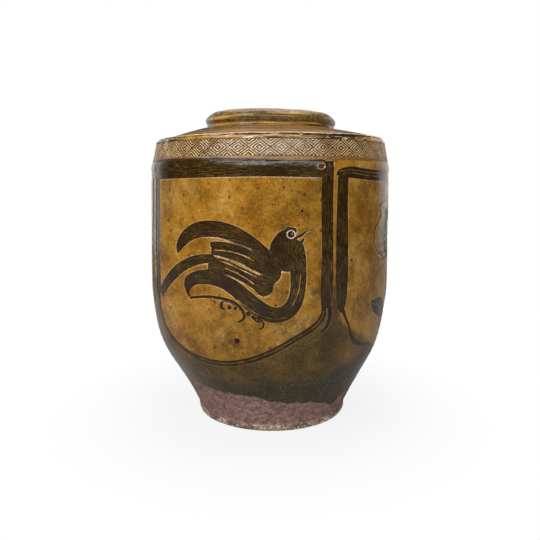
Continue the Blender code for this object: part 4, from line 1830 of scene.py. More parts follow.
class Jig(Bench):
    """Lays nodes in a geometry tree, and runs the tree on a piece."""

    def __init__(self, name: str, inputs: dict[str, str]) -> None:
        """Starts a tree.

        Args:
            name: The tree's name.
            inputs: Its inputs, each with the kind of its socket. Geometry and Finish are added.
        """
        super().__init__(bpy.data.node_groups.new(name, "GeometryNodeTree"))
        face = self.tree.interface
        face.new_socket(name="Geometry", in_out="INPUT", socket_type="NodeSocketGeometry")
        for label, kind in {**inputs, "Finish": "Material"}.items():
            face.new_socket(name=label, in_out="INPUT", socket_type="NodeSocket" + kind)
        face.new_socket(name="Geometry", in_out="OUTPUT", socket_type="NodeSocketGeometry")
        self.entry = self.tree.nodes.new("NodeGroupInput").outputs
        self.leave = self.tree.nodes.new("NodeGroupOutput")

    def make(self, kind: str, inputs: dict[str, object] | None = None, **settings: object) -> object:
        """Adds a geometry or function node.

        Args:
            kind: The node's full type.
            inputs: Values for its inputs, by name or by number.
            settings: Values of its own settings.

        Returns:
            The node.
        """
        node = self.tree.nodes.new(kind)
        for name, value in settings.items():
            setattr(node, name, value)
        for name, value in (inputs or {}).items():
            self.feed(node.inputs[name], value)
        return node

    def position(self) -> Socket:
        """The place of what the tree works on."""
        return self.make("GeometryNodeInputPosition").outputs[0]

    def kept(self, name: str) -> Socket:
        """The values kept under a name."""
        node = self.make("GeometryNodeInputNamedAttribute", {"Name": name}, data_type="FLOAT")
        return node.outputs["Attribute"]

    def sway(self, vector: object, scale: object, detail: float, rough: float) -> Socket:
        """A noise about its middle, from -0.5 to 0.5."""
        return self.less(self.noise(vector, scale, detail, rough), 0.5)

    def polar(self, radius: Socket, turn: Socket, height: object) -> Socket:
        """A point, by its radius, its turn from the front and its height."""
        back = self.times(self.sum("COSINE", turn), -1.0)
        return self.vector(self.times(radius, self.sum("SINE", turn)), self.times(radius, back), height)

    def joined(self, first: object, second: object) -> Socket:
        """The sum of two vectors."""
        node = self.node("VectorMath", operation="ADD")
        self.feed(node.inputs[0], first)
        self.feed(node.inputs[1], second)
        return node.outputs[0]

    def finish(self, geometry: bpy.types.NodeSocket, merge: float) -> None:
        """Welds the geometry, realizes its instances and gives it the finish."""
        real = self.make("GeometryNodeRealizeInstances", {"Geometry": geometry})
        weld = self.make(
            "GeometryNodeMergeByDistance", {"Geometry": real.outputs[0], "Distance": merge}
        )
        inputs = {"Geometry": weld.outputs[0], "Material": self.entry["Finish"]}
        done = self.make("GeometryNodeSetMaterial", inputs)
        self.feed(self.leave.inputs[0], done.outputs[0])

    def run(self, name: str, mesh: bpy.types.Mesh, values: dict[str, object]) -> bpy.types.Mesh:
        """Runs the tree on a mesh.

        Args:
            name: The name for the result.
            mesh: What goes into the tree.
            values: Values of the tree's inputs, by name.

        Returns:
            The plain mesh that comes out, with its faces turned outwards.
        """
        blank = new_object(name + "_blank", mesh)
        modifier = blank.modifiers.new("jig", "NODES")
        modifier.node_group = self.tree
        sockets = {
            item.name: item.identifier
            for item in self.tree.interface.items_tree
            if item.item_type == "SOCKET" and item.in_out == "INPUT"
        }
        for label, value in values.items():
            modifier[sockets[label]] = value
        graph = bpy.context.evaluated_depsgraph_get()
        graph.update()
        result = bpy.data.meshes.new_from_object(
            blank.evaluated_get(graph), preserve_all_data_layers=True, depsgraph=graph
        )
        blank.modifiers.remove(modifier)
        bpy.data.objects.remove(blank)
        shape = bmesh.new()
        shape.from_mesh(result)
        bmesh.ops.dissolve_degenerate(shape, edges=shape.edges, dist=1e-7)
        bmesh.ops.recalc_face_normals(shape, faces=shape.faces)
        shape.to_mesh(result)
        shape.free()
        return result


def line_mesh(points: np.ndarray, rub_and_shade: np.ndarray) -> bpy.types.Mesh:
    """A mesh of an outline's corners, in (radius, height), each with how worn it is, negative for
    painted shade.
    """
    mesh = bpy.data.meshes.new("outline")
    mesh.from_pydata([(radius * MM, 0, height * MM) for radius, height in points], [], [])
    keep_values(mesh, {"rub_and_shade": rub_and_shade})
    return mesh


class Wheel(Jig):
    """The potter's wheel: turns an outline about the jar's axis, with the hand's unevenness."""

    def __init__(self) -> None:
        """Builds the tree."""
        counts = dict.fromkeys(("Steps", "Corners", "Turns"), "Int")
        sizes = ("Wobble", "Wobble Scale", "Ripple", "Ripple Scale", "Wear Depth", "Seed")
        super().__init__("potters_wheel", {**counts, **dict.fromkeys(sizes, "Float")})
        entry = self.entry
        rows, turns = self.plus(entry["Steps"], 1.0), self.plus(entry["Turns"], 1.0)
        sides = {"Size X": 1.0, "Size Y": 1.0, "Vertices X": rows, "Vertices Y": turns}
        grid = self.make("GeometryNodeMeshGrid", sides)
        place = self.position()
        across, along, _ = self.axes(place)
        row = self.times(self.plus(across, 0.5), entry["Steps"])
        row = self.sum("FLOORED_MODULO", self.sum("ROUND", row), entry["Corners"])
        turn = self.times(self.plus(along, 0.5), math.tau)
        radius, _, height = self.axes(self.sampled(place, row, "FLOAT_VECTOR"))
        rub_and_shade = self.sampled(self.kept("rub_and_shade"), row, "FLOAT")
        spot = self.polar(radius, turn, self.plus(height, entry["Seed"]))
        lump = self.times(self.sway(spot, entry["Wobble Scale"], 2, 0.5), entry["Wobble"])
        fine = self.times(self.sway(spot, entry["Ripple Scale"], 3, 0.6), entry["Ripple"])
        bite = self.patches(spot, 55.0, 4, 0.65, 0.5, 0.75)
        bite = self.times(bite, rub_and_shade, entry["Wear Depth"])
        off_axis = self.between(radius, 0.0, 0.02)
        outward = self.times(self.less(self.plus(lump, fine), bite), off_axis)
        height = self.less(height, self.times(bite, 0.6))
        final = self.polar(self.plus(radius, outward), turn, height)
        kept = self.make(
            "GeometryNodeStoreNamedAttribute",
            {"Geometry": grid.outputs["Mesh"], "Name": "rub_and_shade", "Value": rub_and_shade},
            data_type="FLOAT",
            domain="POINT",
        )
        stood = self.make("GeometryNodeSetPosition", {"Geometry": kept.outputs[0], "Position": final})
        self.finish(stood.outputs[0], 2e-6)

    def sampled(self, value: object, row: object, kind: str) -> bpy.types.NodeSocket:
        """What the outline's corner in a row holds."""
        node = self.make("GeometryNodeSampleIndex", data_type=kind, domain="POINT")
        self.feed(node.inputs["Geometry"], self.entry["Geometry"])
        self.feed(next(s for s in node.inputs if s.name == "Value" and s.enabled), value)
        self.feed(node.inputs["Index"], row)
        return next(s for s in node.outputs if s.enabled)

    def turn(
        self,
        name: str,
        outline: np.ndarray,
        rub_and_shade: np.ndarray,
        finish: bpy.types.Material,
        form: JarForm,
        closed: bool = True,
        **values: float,
    ) -> bpy.types.Mesh:
        """Turns a piece.

        Args:
            name: The piece's name.
            outline: Its outline, in (radius, height).
            rub_and_shade: How worn each corner of the outline is, negative where shade is painted in a
                hollow.
            finish: Its material.
            form: The jar's form, which gives its lean.
            closed: Whether the outline closes. An open one starts and ends on the axis.
            values: Values of the tree's inputs, with underscores for blanks.

        Returns:
            The turned mesh.
        """
        inputs = {label.replace("_", " "): value for label, value in values.items()}
        inputs["Corners"] = len(outline)
        inputs["Steps"] = len(outline) if closed else len(outline) - 1
        inputs["Finish"] = finish
        mesh = self.run(name, line_mesh(outline, rub_and_shade), inputs)
        move_points(mesh, form.stand(mesh_points(mesh)))
        mesh.shade_smooth()
        mesh.set_sharp_from_angle(angle=math.radians(60))
        return mesh


@dataclass(frozen=True)
class BandFinish(Finish):
    """The stamped band: thin glaze worn off the ridges and pooled dark in the grooves."""

    colours: WallGlaze = WallGlaze()
    ridge: Colour = srgb(138, 98, 42)
    ridge_pale: Colour = srgb(206, 172, 122)
    groove: Colour = srgb(34, 21, 7)
    plain: Colour = srgb(156, 110, 38)
    plain_deep: Colour = srgb(88, 58, 16)
    name: str = "stamped_band_glaze"

    def paint(self, bench: Bench, effects: Effects, place: Socket) -> Skin:
        """Lays the ridges' glaze over the plain strip's, and the dark glaze in the grooves."""
        cloud, grain, swell = effects.mottle(bench, place, 60.0, 600.0)
        plain = bench.blend(bench.times(cloud, grain), self.plain_deep, self.plain)
        ink = WallFinish(self.colours).ink(bench, place)
        plain = bench.blend(bench.between(bench.value_of("ink"), 0.3, -0.3), plain, ink)
        ridge = bench.blend(cloud, self.ridge, self.ridge_pale)
        ragged = bench.times(bench.less(bench.noise(place, 90.0, 3, 0.6), 0.5), 3.0)
        border = bench.plus(bench.value_of("above_foot"), ragged)
        colour = bench.blend(bench.between(border, -0.6, 0.4), plain, ridge)
        pooled = bench.plus(0.75, bench.patches(place, 60.0, 3, 0.6, 0.3, 0.6), clamp=True)
        depth = bench.between(bench.value_of("relief"), 0.25, 0.75)
        colour = bench.blend(bench.times(depth, pooled), colour, self.groove)
        colour = bench.coat(colour, self.groove, effects.specks(bench, place, 220.0, 0.12), 0.5)
        dull = bench.times(bench.between(border, 0.4, -0.6), 0.22)
        rough = bench.plus(bench.plus(0.1, bench.times(grain, 0.14)), dull)
        lumps = bench.times(bench.noise(place, 150.0, 4, 0.7), 2.2)
        return Skin(colour, rough, bench.plus(swell, lumps), 0.4, 0.0007, 0.7)


@dataclass
class StampedBand(Jig):
    """The ring under the shoulder, with a row of lozenges pressed in by one stamp."""

    form: JarForm
    drawn: GougedWall
    lozenges: int = 40
    stamp_foot: float = 358.6
    stamp_top: float = 376.9
    depth: float = 1.2
    wall: float = 9.5
    across_steps: int = 4
    groove_radius: float = 155.3
    border: Pixels = ((357.2, 0.3), (356.2, 0.35), (355.0, 0.2))
    levels: Pixels = (
        (1.0, 1.0), (0.93, 0.95), (0.89, 0.12), (0.81, 0.0), (0.73, 0.12), (0.69, 0.95),
        (0.59, 0.95), (0.55, 0.12), (0.46, 0.0), (0.37, 0.12), (0.33, 0.95), (0.2, 0.95),
        (0.16, 0.12), (0.0, 0.0),
    )

    def __post_init__(self) -> None:
        """Builds the tree that repeats the stamp and bends the row into a ring."""
        inputs = {"Lozenges": "Int", "Pitch": "Float", "Depth": "Float", "Seed": "Float"}
        Jig.__init__(self, "stamped_ring", inputs)
        entry = self.entry
        step = self.vector(entry["Pitch"], 0.0, 0.0)
        row = self.make("GeometryNodeMeshLine", {"Count": entry["Lozenges"], "Offset": step})
        inputs = {"Points": row.outputs[0], "Instance": entry["Geometry"]}
        copies = self.make("GeometryNodeInstanceOnPoints", inputs)
        real = self.make("GeometryNodeRealizeInstances", {"Geometry": copies.outputs[0]})
        along, radius, height = self.axes(self.position())
        share = self.sum("DIVIDE", along, entry["Pitch"])
        turn = self.times(self.sum("DIVIDE", share, entry["Lozenges"]), math.tau)
        spot = self.polar(radius, turn, self.plus(height, entry["Seed"]))
        force = self.plus(0.7, self.times(self.patches(spot, 24.0, 2, 0.5, 0.28, 0.62), 0.3))
        sunk = self.times(self.kept("relief"), force, entry["Depth"])
        sag = self.times(self.sway(spot, 75.0, 3, 0.55), 0.0011)
        drift = self.times(self.sway(spot, 40.0, 1, 0.5), 0.0016)
        wide = self.less(self.plus(radius, sag), sunk)
        final = self.polar(wide, turn, self.plus(height, drift))
        bent = self.make("GeometryNodeSetPosition", {"Geometry": real.outputs[0], "Position": final})
        self.finish(bent.outputs[0], 2e-6)

    @property
    def pitch(self) -> float:
        """The stretch of the chart that one lozenge takes."""
        return CHART_TURN / self.lozenges

    def face_radius(self, height: float) -> float:
        """The ring's outer radius at a height."""
        low, high = self.form.band_foot, self.form.band_top
        return low[0] + (high[0] - low[0]) * (height - low[1]) / (high[1] - low[1])

    def stamp_place(self, across: float, up: float) -> tuple[float, float, float]:
        """A point of the stamp: across and up run from -1 to 1 over one lozenge."""
        height = self.stamp_foot + (up + 1) / 2 * (self.stamp_top - self.stamp_foot)
        return ((across + 1) / 2 * self.pitch * MM, self.face_radius(height) * MM, height * MM)

    def tile(self) -> bpy.types.Mesh:
        """One lozenge's stretch of the ring: the stamp, the plain strips and the hidden sides."""
        shape = bmesh.new()
        layer = shape.verts.layers.float.new("relief")
        for across in (-1, 1):
            for up in (-1, 1):
                self.quarter(shape, layer, (0, 0), (across, up))
                self.quarter(shape, layer, (across, up), (-across, -up))
        columns = [(-1 + level, relief) for level, relief in reversed(self.levels)]
        columns += [(1 - level, relief) for level, relief in self.levels[1:]]
        low, high = self.form.band_foot, self.form.band_top
        section = [
            (self.face_radius(self.stamp_foot), self.stamp_foot, 1.0),
            (self.face_radius(self.stamp_foot) + 0.1, self.stamp_foot - 0.7, 0.0),
            *((self.face_radius(height) + proud, height, 0.0) for height, proud in self.border),
            (low[0], low[1], 0.0),
            (low[0] - self.wall, low[1] + 5.3, 0.0),
            (high[0] - self.wall, high[1], 0.0),
            (self.groove_radius, high[1], 0.0),
            (self.face_radius(self.stamp_top) - 1.2, self.stamp_top + 0.7, 0.0),
            (self.face_radius(self.stamp_top), self.stamp_top + 0.1, 1.0),
        ]
        rows = []
        for radius, height, share in section:
            row = []
            for across, relief in columns:
                x = self.stamp_place(across, 0)[0]
                vertex = shape.verts.new((x, radius * MM, height * MM))
                vertex[layer] = relief * share
                row.append(vertex)
            rows.append(row)
        for below, above in zip(rows, rows[1:]):
            for first in range(len(columns) - 1):
                shape.faces.new((below[first], above[first], above[first + 1], below[first + 1]))
        mesh = bpy.data.meshes.new("stamp")
        shape.to_mesh(mesh)
        shape.free()
        return mesh

    def quarter(
        self,
        shape: bmesh.types.BMesh,
        layer: object,
        middle: tuple[int, int],
        towards: tuple[int, int],
    ) -> None:
        """Adds a quarter of a lozenge.

        Args:
            shape: What it is added to.
            layer: The layer that holds the relief.
            middle: The lozenge's middle, in (across, up).
            towards: Which way the quarter lies, 1 or -1 each.
        """
        rings = []
        for level, relief in self.levels:
            ring = []
            for step in range(self.across_steps + 1):
                share = step / self.across_steps
                across = middle[0] + towards[0] * level * (1 - share)
                up = middle[1] + towards[1] * level * share
                vertex = shape.verts.new(self.stamp_place(across, up))
                vertex[layer] = relief
                ring.append(vertex)
            rings.append(ring)
        for outer, inner in zip(rings, rings[1:]):
            for step in range(self.across_steps):
                shape.faces.new((outer[step], outer[step + 1], inner[step + 1], inner[step]))

    def build(self, finish: bpy.types.Material) -> bpy.types.Object:
        """Makes the ring.

        Args:
            finish: Its material.

        Returns:
            The piece.
        """
        values = {
            "Lozenges": self.lozenges,
            "Pitch": self.pitch * MM,
            "Depth": self.depth * MM,
            "Seed": 3.0,
            "Finish": finish,
        }
        mesh = self.run("stamped_band", self.tile(), values)
        points = mesh_points(mesh)
        places = unrolled(points)
        keep_values(mesh, self.drawn.cut_depths(places, self.drawn.all_marks()))
        keep_values(mesh, {"above_foot": np.clip(places[:, 1] - self.stamp_foot, -9, 9)})
        move_points(mesh, self.form.stand(points))
        mesh.shade_smooth()
        mesh.set_sharp_from_angle(angle=math.radians(60))
        return hand_over(new_object("stamped_band", mesh), ("band_ring",))


@dataclass
class SeamCoil(Jig):
    """The roll of clay that was pressed into the seam under the shoulder's lip."""

    form: JarForm
    radius: float = 156.9
    height: float = 379.0
    thickness: float = 1.45

    def __post_init__(self) -> None:
        """Builds the tree that rolls the coil round the seam."""
        inputs = dict.fromkeys(("Radius", "Height", "Thickness", "Seed"), "Float")
        Jig.__init__(self, "pressed_coil", inputs)
        entry = self.entry
        inputs = {"Resolution": 420, "Radius": entry["Radius"]}
        path = self.make("GeometryNodeCurvePrimitiveCircle", inputs)
        place = self.position()
        spot = self.joined(place, self.vector(entry["Seed"], 0.0, 0.0))
        sideways = self.node("VectorMath", operation="SCALE")
        self.feed(sideways.inputs[0], place)
        self.feed(sideways.inputs["Scale"], self.times(self.sway(spot, 90.0, 2, 0.5), 0.006))
        lift = self.plus(entry["Height"], self.times(self.sway(spot, 28.0, 3, 0.55), 0.0028))
        offset = self.joined(sideways.outputs[0], self.vector(0.0, 0.0, lift))
        inputs = {"Geometry": path.outputs[0], "Offset": offset}
        laid = self.make("GeometryNodeSetPosition", inputs)
        section = self.make("GeometryNodeCurvePrimitiveCircle", {"Resolution": 14, "Radius": 1.0})
        fat = self.plus(0.75, self.times(self.noise(spot, 70.0, 2, 0.5), 0.5))
        fat = self.times(fat, entry["Thickness"])
        sized = self.make("GeometryNodeSetCurveRadius", {"Curve": laid.outputs[0], "Radius": fat})
        inputs = {"Curve": sized.outputs[0], "Profile Curve": section.outputs[0], "Scale": fat}
        tube = self.make("GeometryNodeCurveToMesh", inputs)
        self.finish(tube.outputs[0], 1e-6)

    def build(self, finish: bpy.types.Material) -> bpy.types.Object:
        """Makes the coil.

        Args:
            finish: Its material.

        Returns:
            The piece.
        """
        values = {
            "Radius": self.radius * MM,
            "Height": self.height * MM,
            "Thickness": self.thickness * MM,
            "Seed": 1.7,
            "Finish": finish,
        }
        mesh = self.run("pressed_seam_coil", bpy.data.meshes.new("nothing"), values)
        points = mesh_points(mesh)
        move_points(mesh, self.form.stand(points))
        # Where the coil tucks in against the lip and the band, low values darken it as painted shade
        # with pooled glaze; its proud side wears pale.
        proud = (np.hypot(points[:, 0], points[:, 1]) / MM - self.radius) / self.thickness
        patchy = lattice_noise(*unrolled(points).T, (9, 200), 5)
        keep_values(mesh, {"rub_and_shade": np.clip(proud + patchy * 0.9 - 0.7, -1.2, 0.7)})
        mesh.shade_smooth()
        piece = new_object("pressed_seam_coil", mesh)
        return hand_over(piece, ("shoulder_seam_coil",))


@dataclass(frozen=True)
class ShoulderFinish(Finish):
    """Amber and dark glaze streaked round the turning, and worn to the clay on every edge."""

    amber: Colour = srgb(180, 130, 56)
    dark: Colour = srgb(58, 40, 16)
    pale: Colour = srgb(200, 166, 122)
    worn: Colour = srgb(230, 208, 180)
    # The dark of pinholes, also used as painted shade in the lip's hollows.
    pit_and_shade: Colour = srgb(34, 22, 12)
    name: str = "streaked_shoulder_glaze"

    def paint(self, bench: Bench, effects: Effects, place: Socket) -> Skin:
        """Lays the streaks, the worn clay, the lip's pockets darkened with painted shade, and the
        pinholes.
        """
        x, y, _ = bench.axes(place)
        radius = bench.sum("SQRT", bench.plus(bench.times(x, x), bench.times(y, y)))
        rings = bench.vector(bench.times(x, 9.0), bench.times(y, 9.0), bench.times(radius, 260.0))
        streak = bench.noise(rings, 1.0, 4, 0.6)
        cloud, grain, swell = effects.mottle(bench, place, 50.0, 480.0)
        colour = bench.blend(bench.between(streak, 0.4, 0.62), self.dark, self.amber)
        pale = bench.times(bench.between(streak, 0.58, 0.72), cloud)
        colour = bench.blend(pale, colour, self.pale)
        rub_and_shade = bench.value_of("rub_and_shade")
        pocket = bench.noise(bench.stretched(place, 80.0, 420.0), 1.0, 4, 0.65)
        rubbed = bench.times(bench.noise(place, 130.0, 4, 0.7), 0.5)
        worn = bench.plus(rubbed, bench.times(pocket, 0.5))
        worn = bench.between(bench.plus(worn, bench.times(rub_and_shade, 0.34)), 0.68, 0.84)
        colour = bench.coat(colour, self.worn, worn, 0.9)
        # Low wear values and deep pockets go nearly black: dark glaze pooled in the lip's hollows, with
        # painted shade.
        crevice_shade = bench.less(pocket, bench.times(rub_and_shade, 0.32))
        colour = bench.blend(bench.between(crevice_shade, 0.66, 0.82), colour, self.pit_and_shade)
        pits = effects.pinholes(bench, place, 260.0, 0.16)
        colour = bench.coat(colour, self.pit_and_shade, pits, 0.8)
        rough = bench.plus(0.17, bench.times(worn, 0.3))
        rough = bench.plus(rough, bench.times(grain, 0.1))
        height = bench.plus(swell, bench.times(streak, 0.5))
        return Skin(colour, rough, bench.less(height, bench.times(pits, 0.7)), 0.5, 0.0006)


@dataclass
class Turning:
    """A piece that is turned on the wheel.

    Its unevenness is given by the inputs of the wheel's tree.
    """

    form: JarForm
    name: str = ""
    node: str = ""
    slot: str = ""
    closed: bool = True
    unevenness: dict[str, float] = field(default_factory=dict)

    def outline(self) -> tuple[np.ndarray, np.ndarray]:
        """The outline, in (radius, height), and how worn each corner is."""
        raise NotImplementedError

    def build(self, wheel: Wheel, finish: bpy.types.Material) -> bpy.types.Object:
        """Makes the piece.

        Args:
            wheel: The wheel that turns it.
            finish: Its material.

        Returns:
            The piece.
        """
        line, rub_and_shade = self.outline()
        mesh = wheel.turn(
            self.name, line, rub_and_shade, finish, self.form, closed=self.closed, **self.unevenness
        )
        if not self.closed:
            rest_on_floor(mesh)
        return hand_over(new_object(self.name, mesh), (self.node,))


@dataclass
class Shoulder(Turning):
    """The low dome between the stamped band and the neck, with a lip worn by handling.

    The lip's corners are (radius, rise above the seam, wear); negative wear paints shade in the lip's
    pockets.
    """

    name: str = "domed_shoulder"
    node: str = "shoulder"
    slot: str = "streaked_glaze"
    lip: tuple[tuple[float, float, float], ...] = (
        (155.3, 0.2, -1.0), (155.8, 1.0, -0.9), (156.4, 1.9, 0.0), (156.6, 2.7, 0.8),
        (156.1, 3.6, 0.2), (155.3, 4.2, -0.9), (154.9, 4.7, -1.1), (154.8, 5.3, -0.5),
        (154.4, 6.1, 0.6), (153.3, 6.8, 1.1), (151.9, 7.1, 0.9), (150.3, 7.0, 0.0),
        (148.9, 6.9, -0.4), (147.4, 7.1, 0.1),
    )
    thickness: float = 9.0
    bore: float = 78.3
    collar: float = 91.0
    unevenness: dict[str, float] = field(
        default_factory=lambda: {
            "Turns": 360, "Wobble": 0.0022, "Wobble_Scale": 22.0, "Ripple": 0.0016,
            "Ripple_Scale": 120.0, "Wear_Depth": 0.0022, "Seed": 5.0,
        }
    )

    def outline(self) -> tuple[np.ndarray, np.ndarray]:
        """The outline, in (radius, height), and how worn each corner is, negative where shade is
        painted.
        """
        seat = self.form.band_top[1]
        top = self.form.neck[1]
        radii, rises, lip_wear_and_shade = np.array(self.lip).T
        foot = (self.collar, top - 3)
        lip = np.stack([radii, seat + rises], 1)
        dome = cubic(lip[-1], foot, ((0.30, 0.38), (0.67, 0.71)), 34)[1:]
        fillet = cubic(foot, self.form.neck, ((0.75, 0.05), (1.0, 0.45)), 5)
        below = dome[3:-1:4][::-1] - np.array([0, self.thickness])
        bore = [(self.bore, top), (self.bore, top - self.thickness)]
        inside = np.vstack([bore, below, [(145.4, seat - 3), (148.4, seat + 0.2)]])
        line = np.vstack([lip, dome, fillet[1:], inside])
        rub_and_shade = np.zeros(len(line))
        rub_and_shade[: len(lip_wear_and_shade)] = lip_wear_and_shade
        return line, rub_and_shade


@dataclass(frozen=True)
class RimFinish(Finish):
    """Dark olive glaze on the rim, broken amber where it thins and worn pale along the top."""

    olive: Colour = srgb(132, 102, 48)
    olive_deep: Colour = srgb(56, 42, 18)
    amber: Colour = srgb(196, 150, 78)
    worn: Colour = srgb(204, 172, 132)
    red: Colour = srgb(116, 66, 44)
    name: str = "rolled_rim_glaze"

    def paint(self, bench: Bench, effects: Effects, place: Socket) -> Skin:
        """Lays the streaked glaze, and the clay where covers have rubbed it through."""
        cloud, grain, swell = effects.mottle(bench, place, 44.0, 420.0)
        streak = bench.noise(bench.stretched(place, 12.0, 260.0), 1.0, 4, 0.6)
        colour = bench.blend(cloud, self.olive_deep, self.olive)
        colour = bench.blend(bench.between(streak, 0.52, 0.68), colour, self.amber)
        rub_and_shade = bench.times(bench.value_of("rub_and_shade"), 0.6)
        worn = bench.between(bench.plus(bench.noise(place, 110.0, 4, 0.7), rub_and_shade), 0.86, 1.04)
        clay = bench.blend(bench.noise(place, 45.0, 2, 0.5), self.red, self.worn)
        colour = bench.coat(colour, clay, worn, 0.9)
        rough = bench.plus(0.2, bench.times(worn, 0.35))
        rough = bench.plus(rough, bench.times(grain, 0.1))
        return Skin(colour, rough, swell, 0.45, 0.0006)


@dataclass
class NeckRing(Turning):
    """The collar and the fat rolled rim, wiped flat on top."""

    name: str = "rolled_rim"
    node: str = "neck_ring"
    slot: str = "dark_glaze"
    mouth: float = 74.0
    land: float = 80.2
    unevenness: dict[str, float] = field(
        default_factory=lambda: {
            "Turns": 300, "Wobble": 0.0026, "Wobble_Scale": 17.0, "Ripple": 0.0012,
            "Ripple_Scale": 110.0, "Wear_Depth": 0.0016, "Seed": 9.0,
        }
    )

    def outline(self) -> tuple[np.ndarray, np.ndarray]:
        """The outline, in (radius, height), and how worn each corner is."""
        seat = self.form.neck[1]
        top = self.form.height
        neck = self.form.neck[0]
        bulge = (self.form.rim_radius, seat + 7.5)
        below = cubic((neck, seat + 2), bulge, ((0.60, 0.20), (1.0, 0.60)), 9)
        above = cubic(bulge, (self.land, top), ((0.02, 0.30), (0.62, 0.76)), 14)
        inner = cubic((self.land - 3.6, top), (self.mouth, seat + 7.5), ((0.6, 0.05), (1.0, 0.5)), 8)
        line = np.vstack(
            [
                [(neck, seat)], below, above[1:],
                [(self.land - 1.2, top + 0.1), (self.land - 2.4, top + 0.1)], inner,
                [(self.mouth + 0.2, seat), (self.mouth, seat - 7), (self.mouth + 4, seat - 7)],
                [(self.mouth + 4, seat)],
            ]
        )
        rub_and_shade = smooth_step(line[:, 1], top - 7, top - 1)
        return line, rub_and_shade


@dataclass(frozen=True)
class ClayFinish(Finish):
    """Bare purple-brown stoneware, gritty, with iron spots and a sandy edge."""

    clay: Colour = srgb(164, 129, 116)
    clay_dark: Colour = srgb(112, 84, 76)
    sand: Colour = srgb(206, 190, 160)
    grit: Colour = srgb(50, 44, 46)
    rust: Colour = srgb(132, 82, 42)
    name: str = "bare_foot_clay"

    def paint(self, bench: Bench, effects: Effects, place: Socket) -> Skin:
        """Lays the clay, its rust and grit, and the dirt and sand along the lower edge."""
        tone = bench.noise(place, 130.0, 6, 0.74)
        colour = bench.blend(bench.between(tone, 0.36, 0.64), self.clay_dark, self.clay)
        colour = bench.strew(
            colour, place,
            (38.0, 3, 0.6, 0.6, 0.72, 0.7, self.rust),
            (210.0, 5, 0.8, 0.48, 0.6, 0.6, self.grit),
        )
        colour = bench.coat(colour, self.grit, effects.specks(bench, place, 230.0, 0.75), 0.8)
        colour = bench.strew(colour, place, (420.0, 4, 0.75, 0.58, 0.7, 0.6, self.sand))
        low = bench.between(bench.axes(place)[2], 0.012, 0.006)
        dirty = bench.times(low, bench.patches(place, 150.0, 5, 0.75, 0.4, 0.56))
        colour = bench.coat(colour, self.grit, dirty, 0.6)
        patchy = bench.patches(place, 40.0, 3, 0.6, 0.44, 0.56)
        crumbs = bench.times(low, patchy, bench.patches(place, 300.0, 5, 0.8, 0.46, 0.54))
        colour = bench.blend(crumbs, colour, self.sand)
        height = bench.plus(tone, bench.times(bench.noise(place, 500.0, 3, 0.6), 0.4))
        return Skin(colour, 0.82, height, 0.7, 0.0008)


@dataclass
class BaseSlab(Turning):
    """The thick round floor, whose edge is the upright band at the foot."""

    name: str = "wiped_base_slab"
    node: str = "base_slab"
    slot: str = "bare_stoneware"
    closed: bool = False
    thickness: float = 12.0
    unevenness: dict[str, float] = field(
        default_factory=lambda: {
            "Turns": 320, "Wobble": 0.0016, "Wobble_Scale": 20.0, "Ripple": 0.0022,
            "Ripple_Scale": 140.0, "Wear_Depth": 0.0012, "Seed": 13.0,
        }
    )

    def outline(self) -> tuple[np.ndarray, np.ndarray]:
        """The outline, from the middle of the bottom to the middle inside, and its wear."""
        foot = self.form.wall_foot[0]
        inside = foot - 11.0
        floor = self.thickness + 2
        under = [(0, 0), (40, 0), (75, 0), (95, 0), (100, 0)]
        worn = cubic((foot - 3.4, 0), (foot, 8), ((0.55, 0.05), (0.95, 0.45)), 9)
        rim = [(foot, 10.0), (foot, self.thickness), (inside, self.thickness)]
        line = np.vstack([under, worn, rim, [(inside - 2, floor), (60, floor), (25, floor), (0, floor)]])
        return line, smooth_step(line[:, 1], 9, 1) * (line[:, 0] > foot - 5)


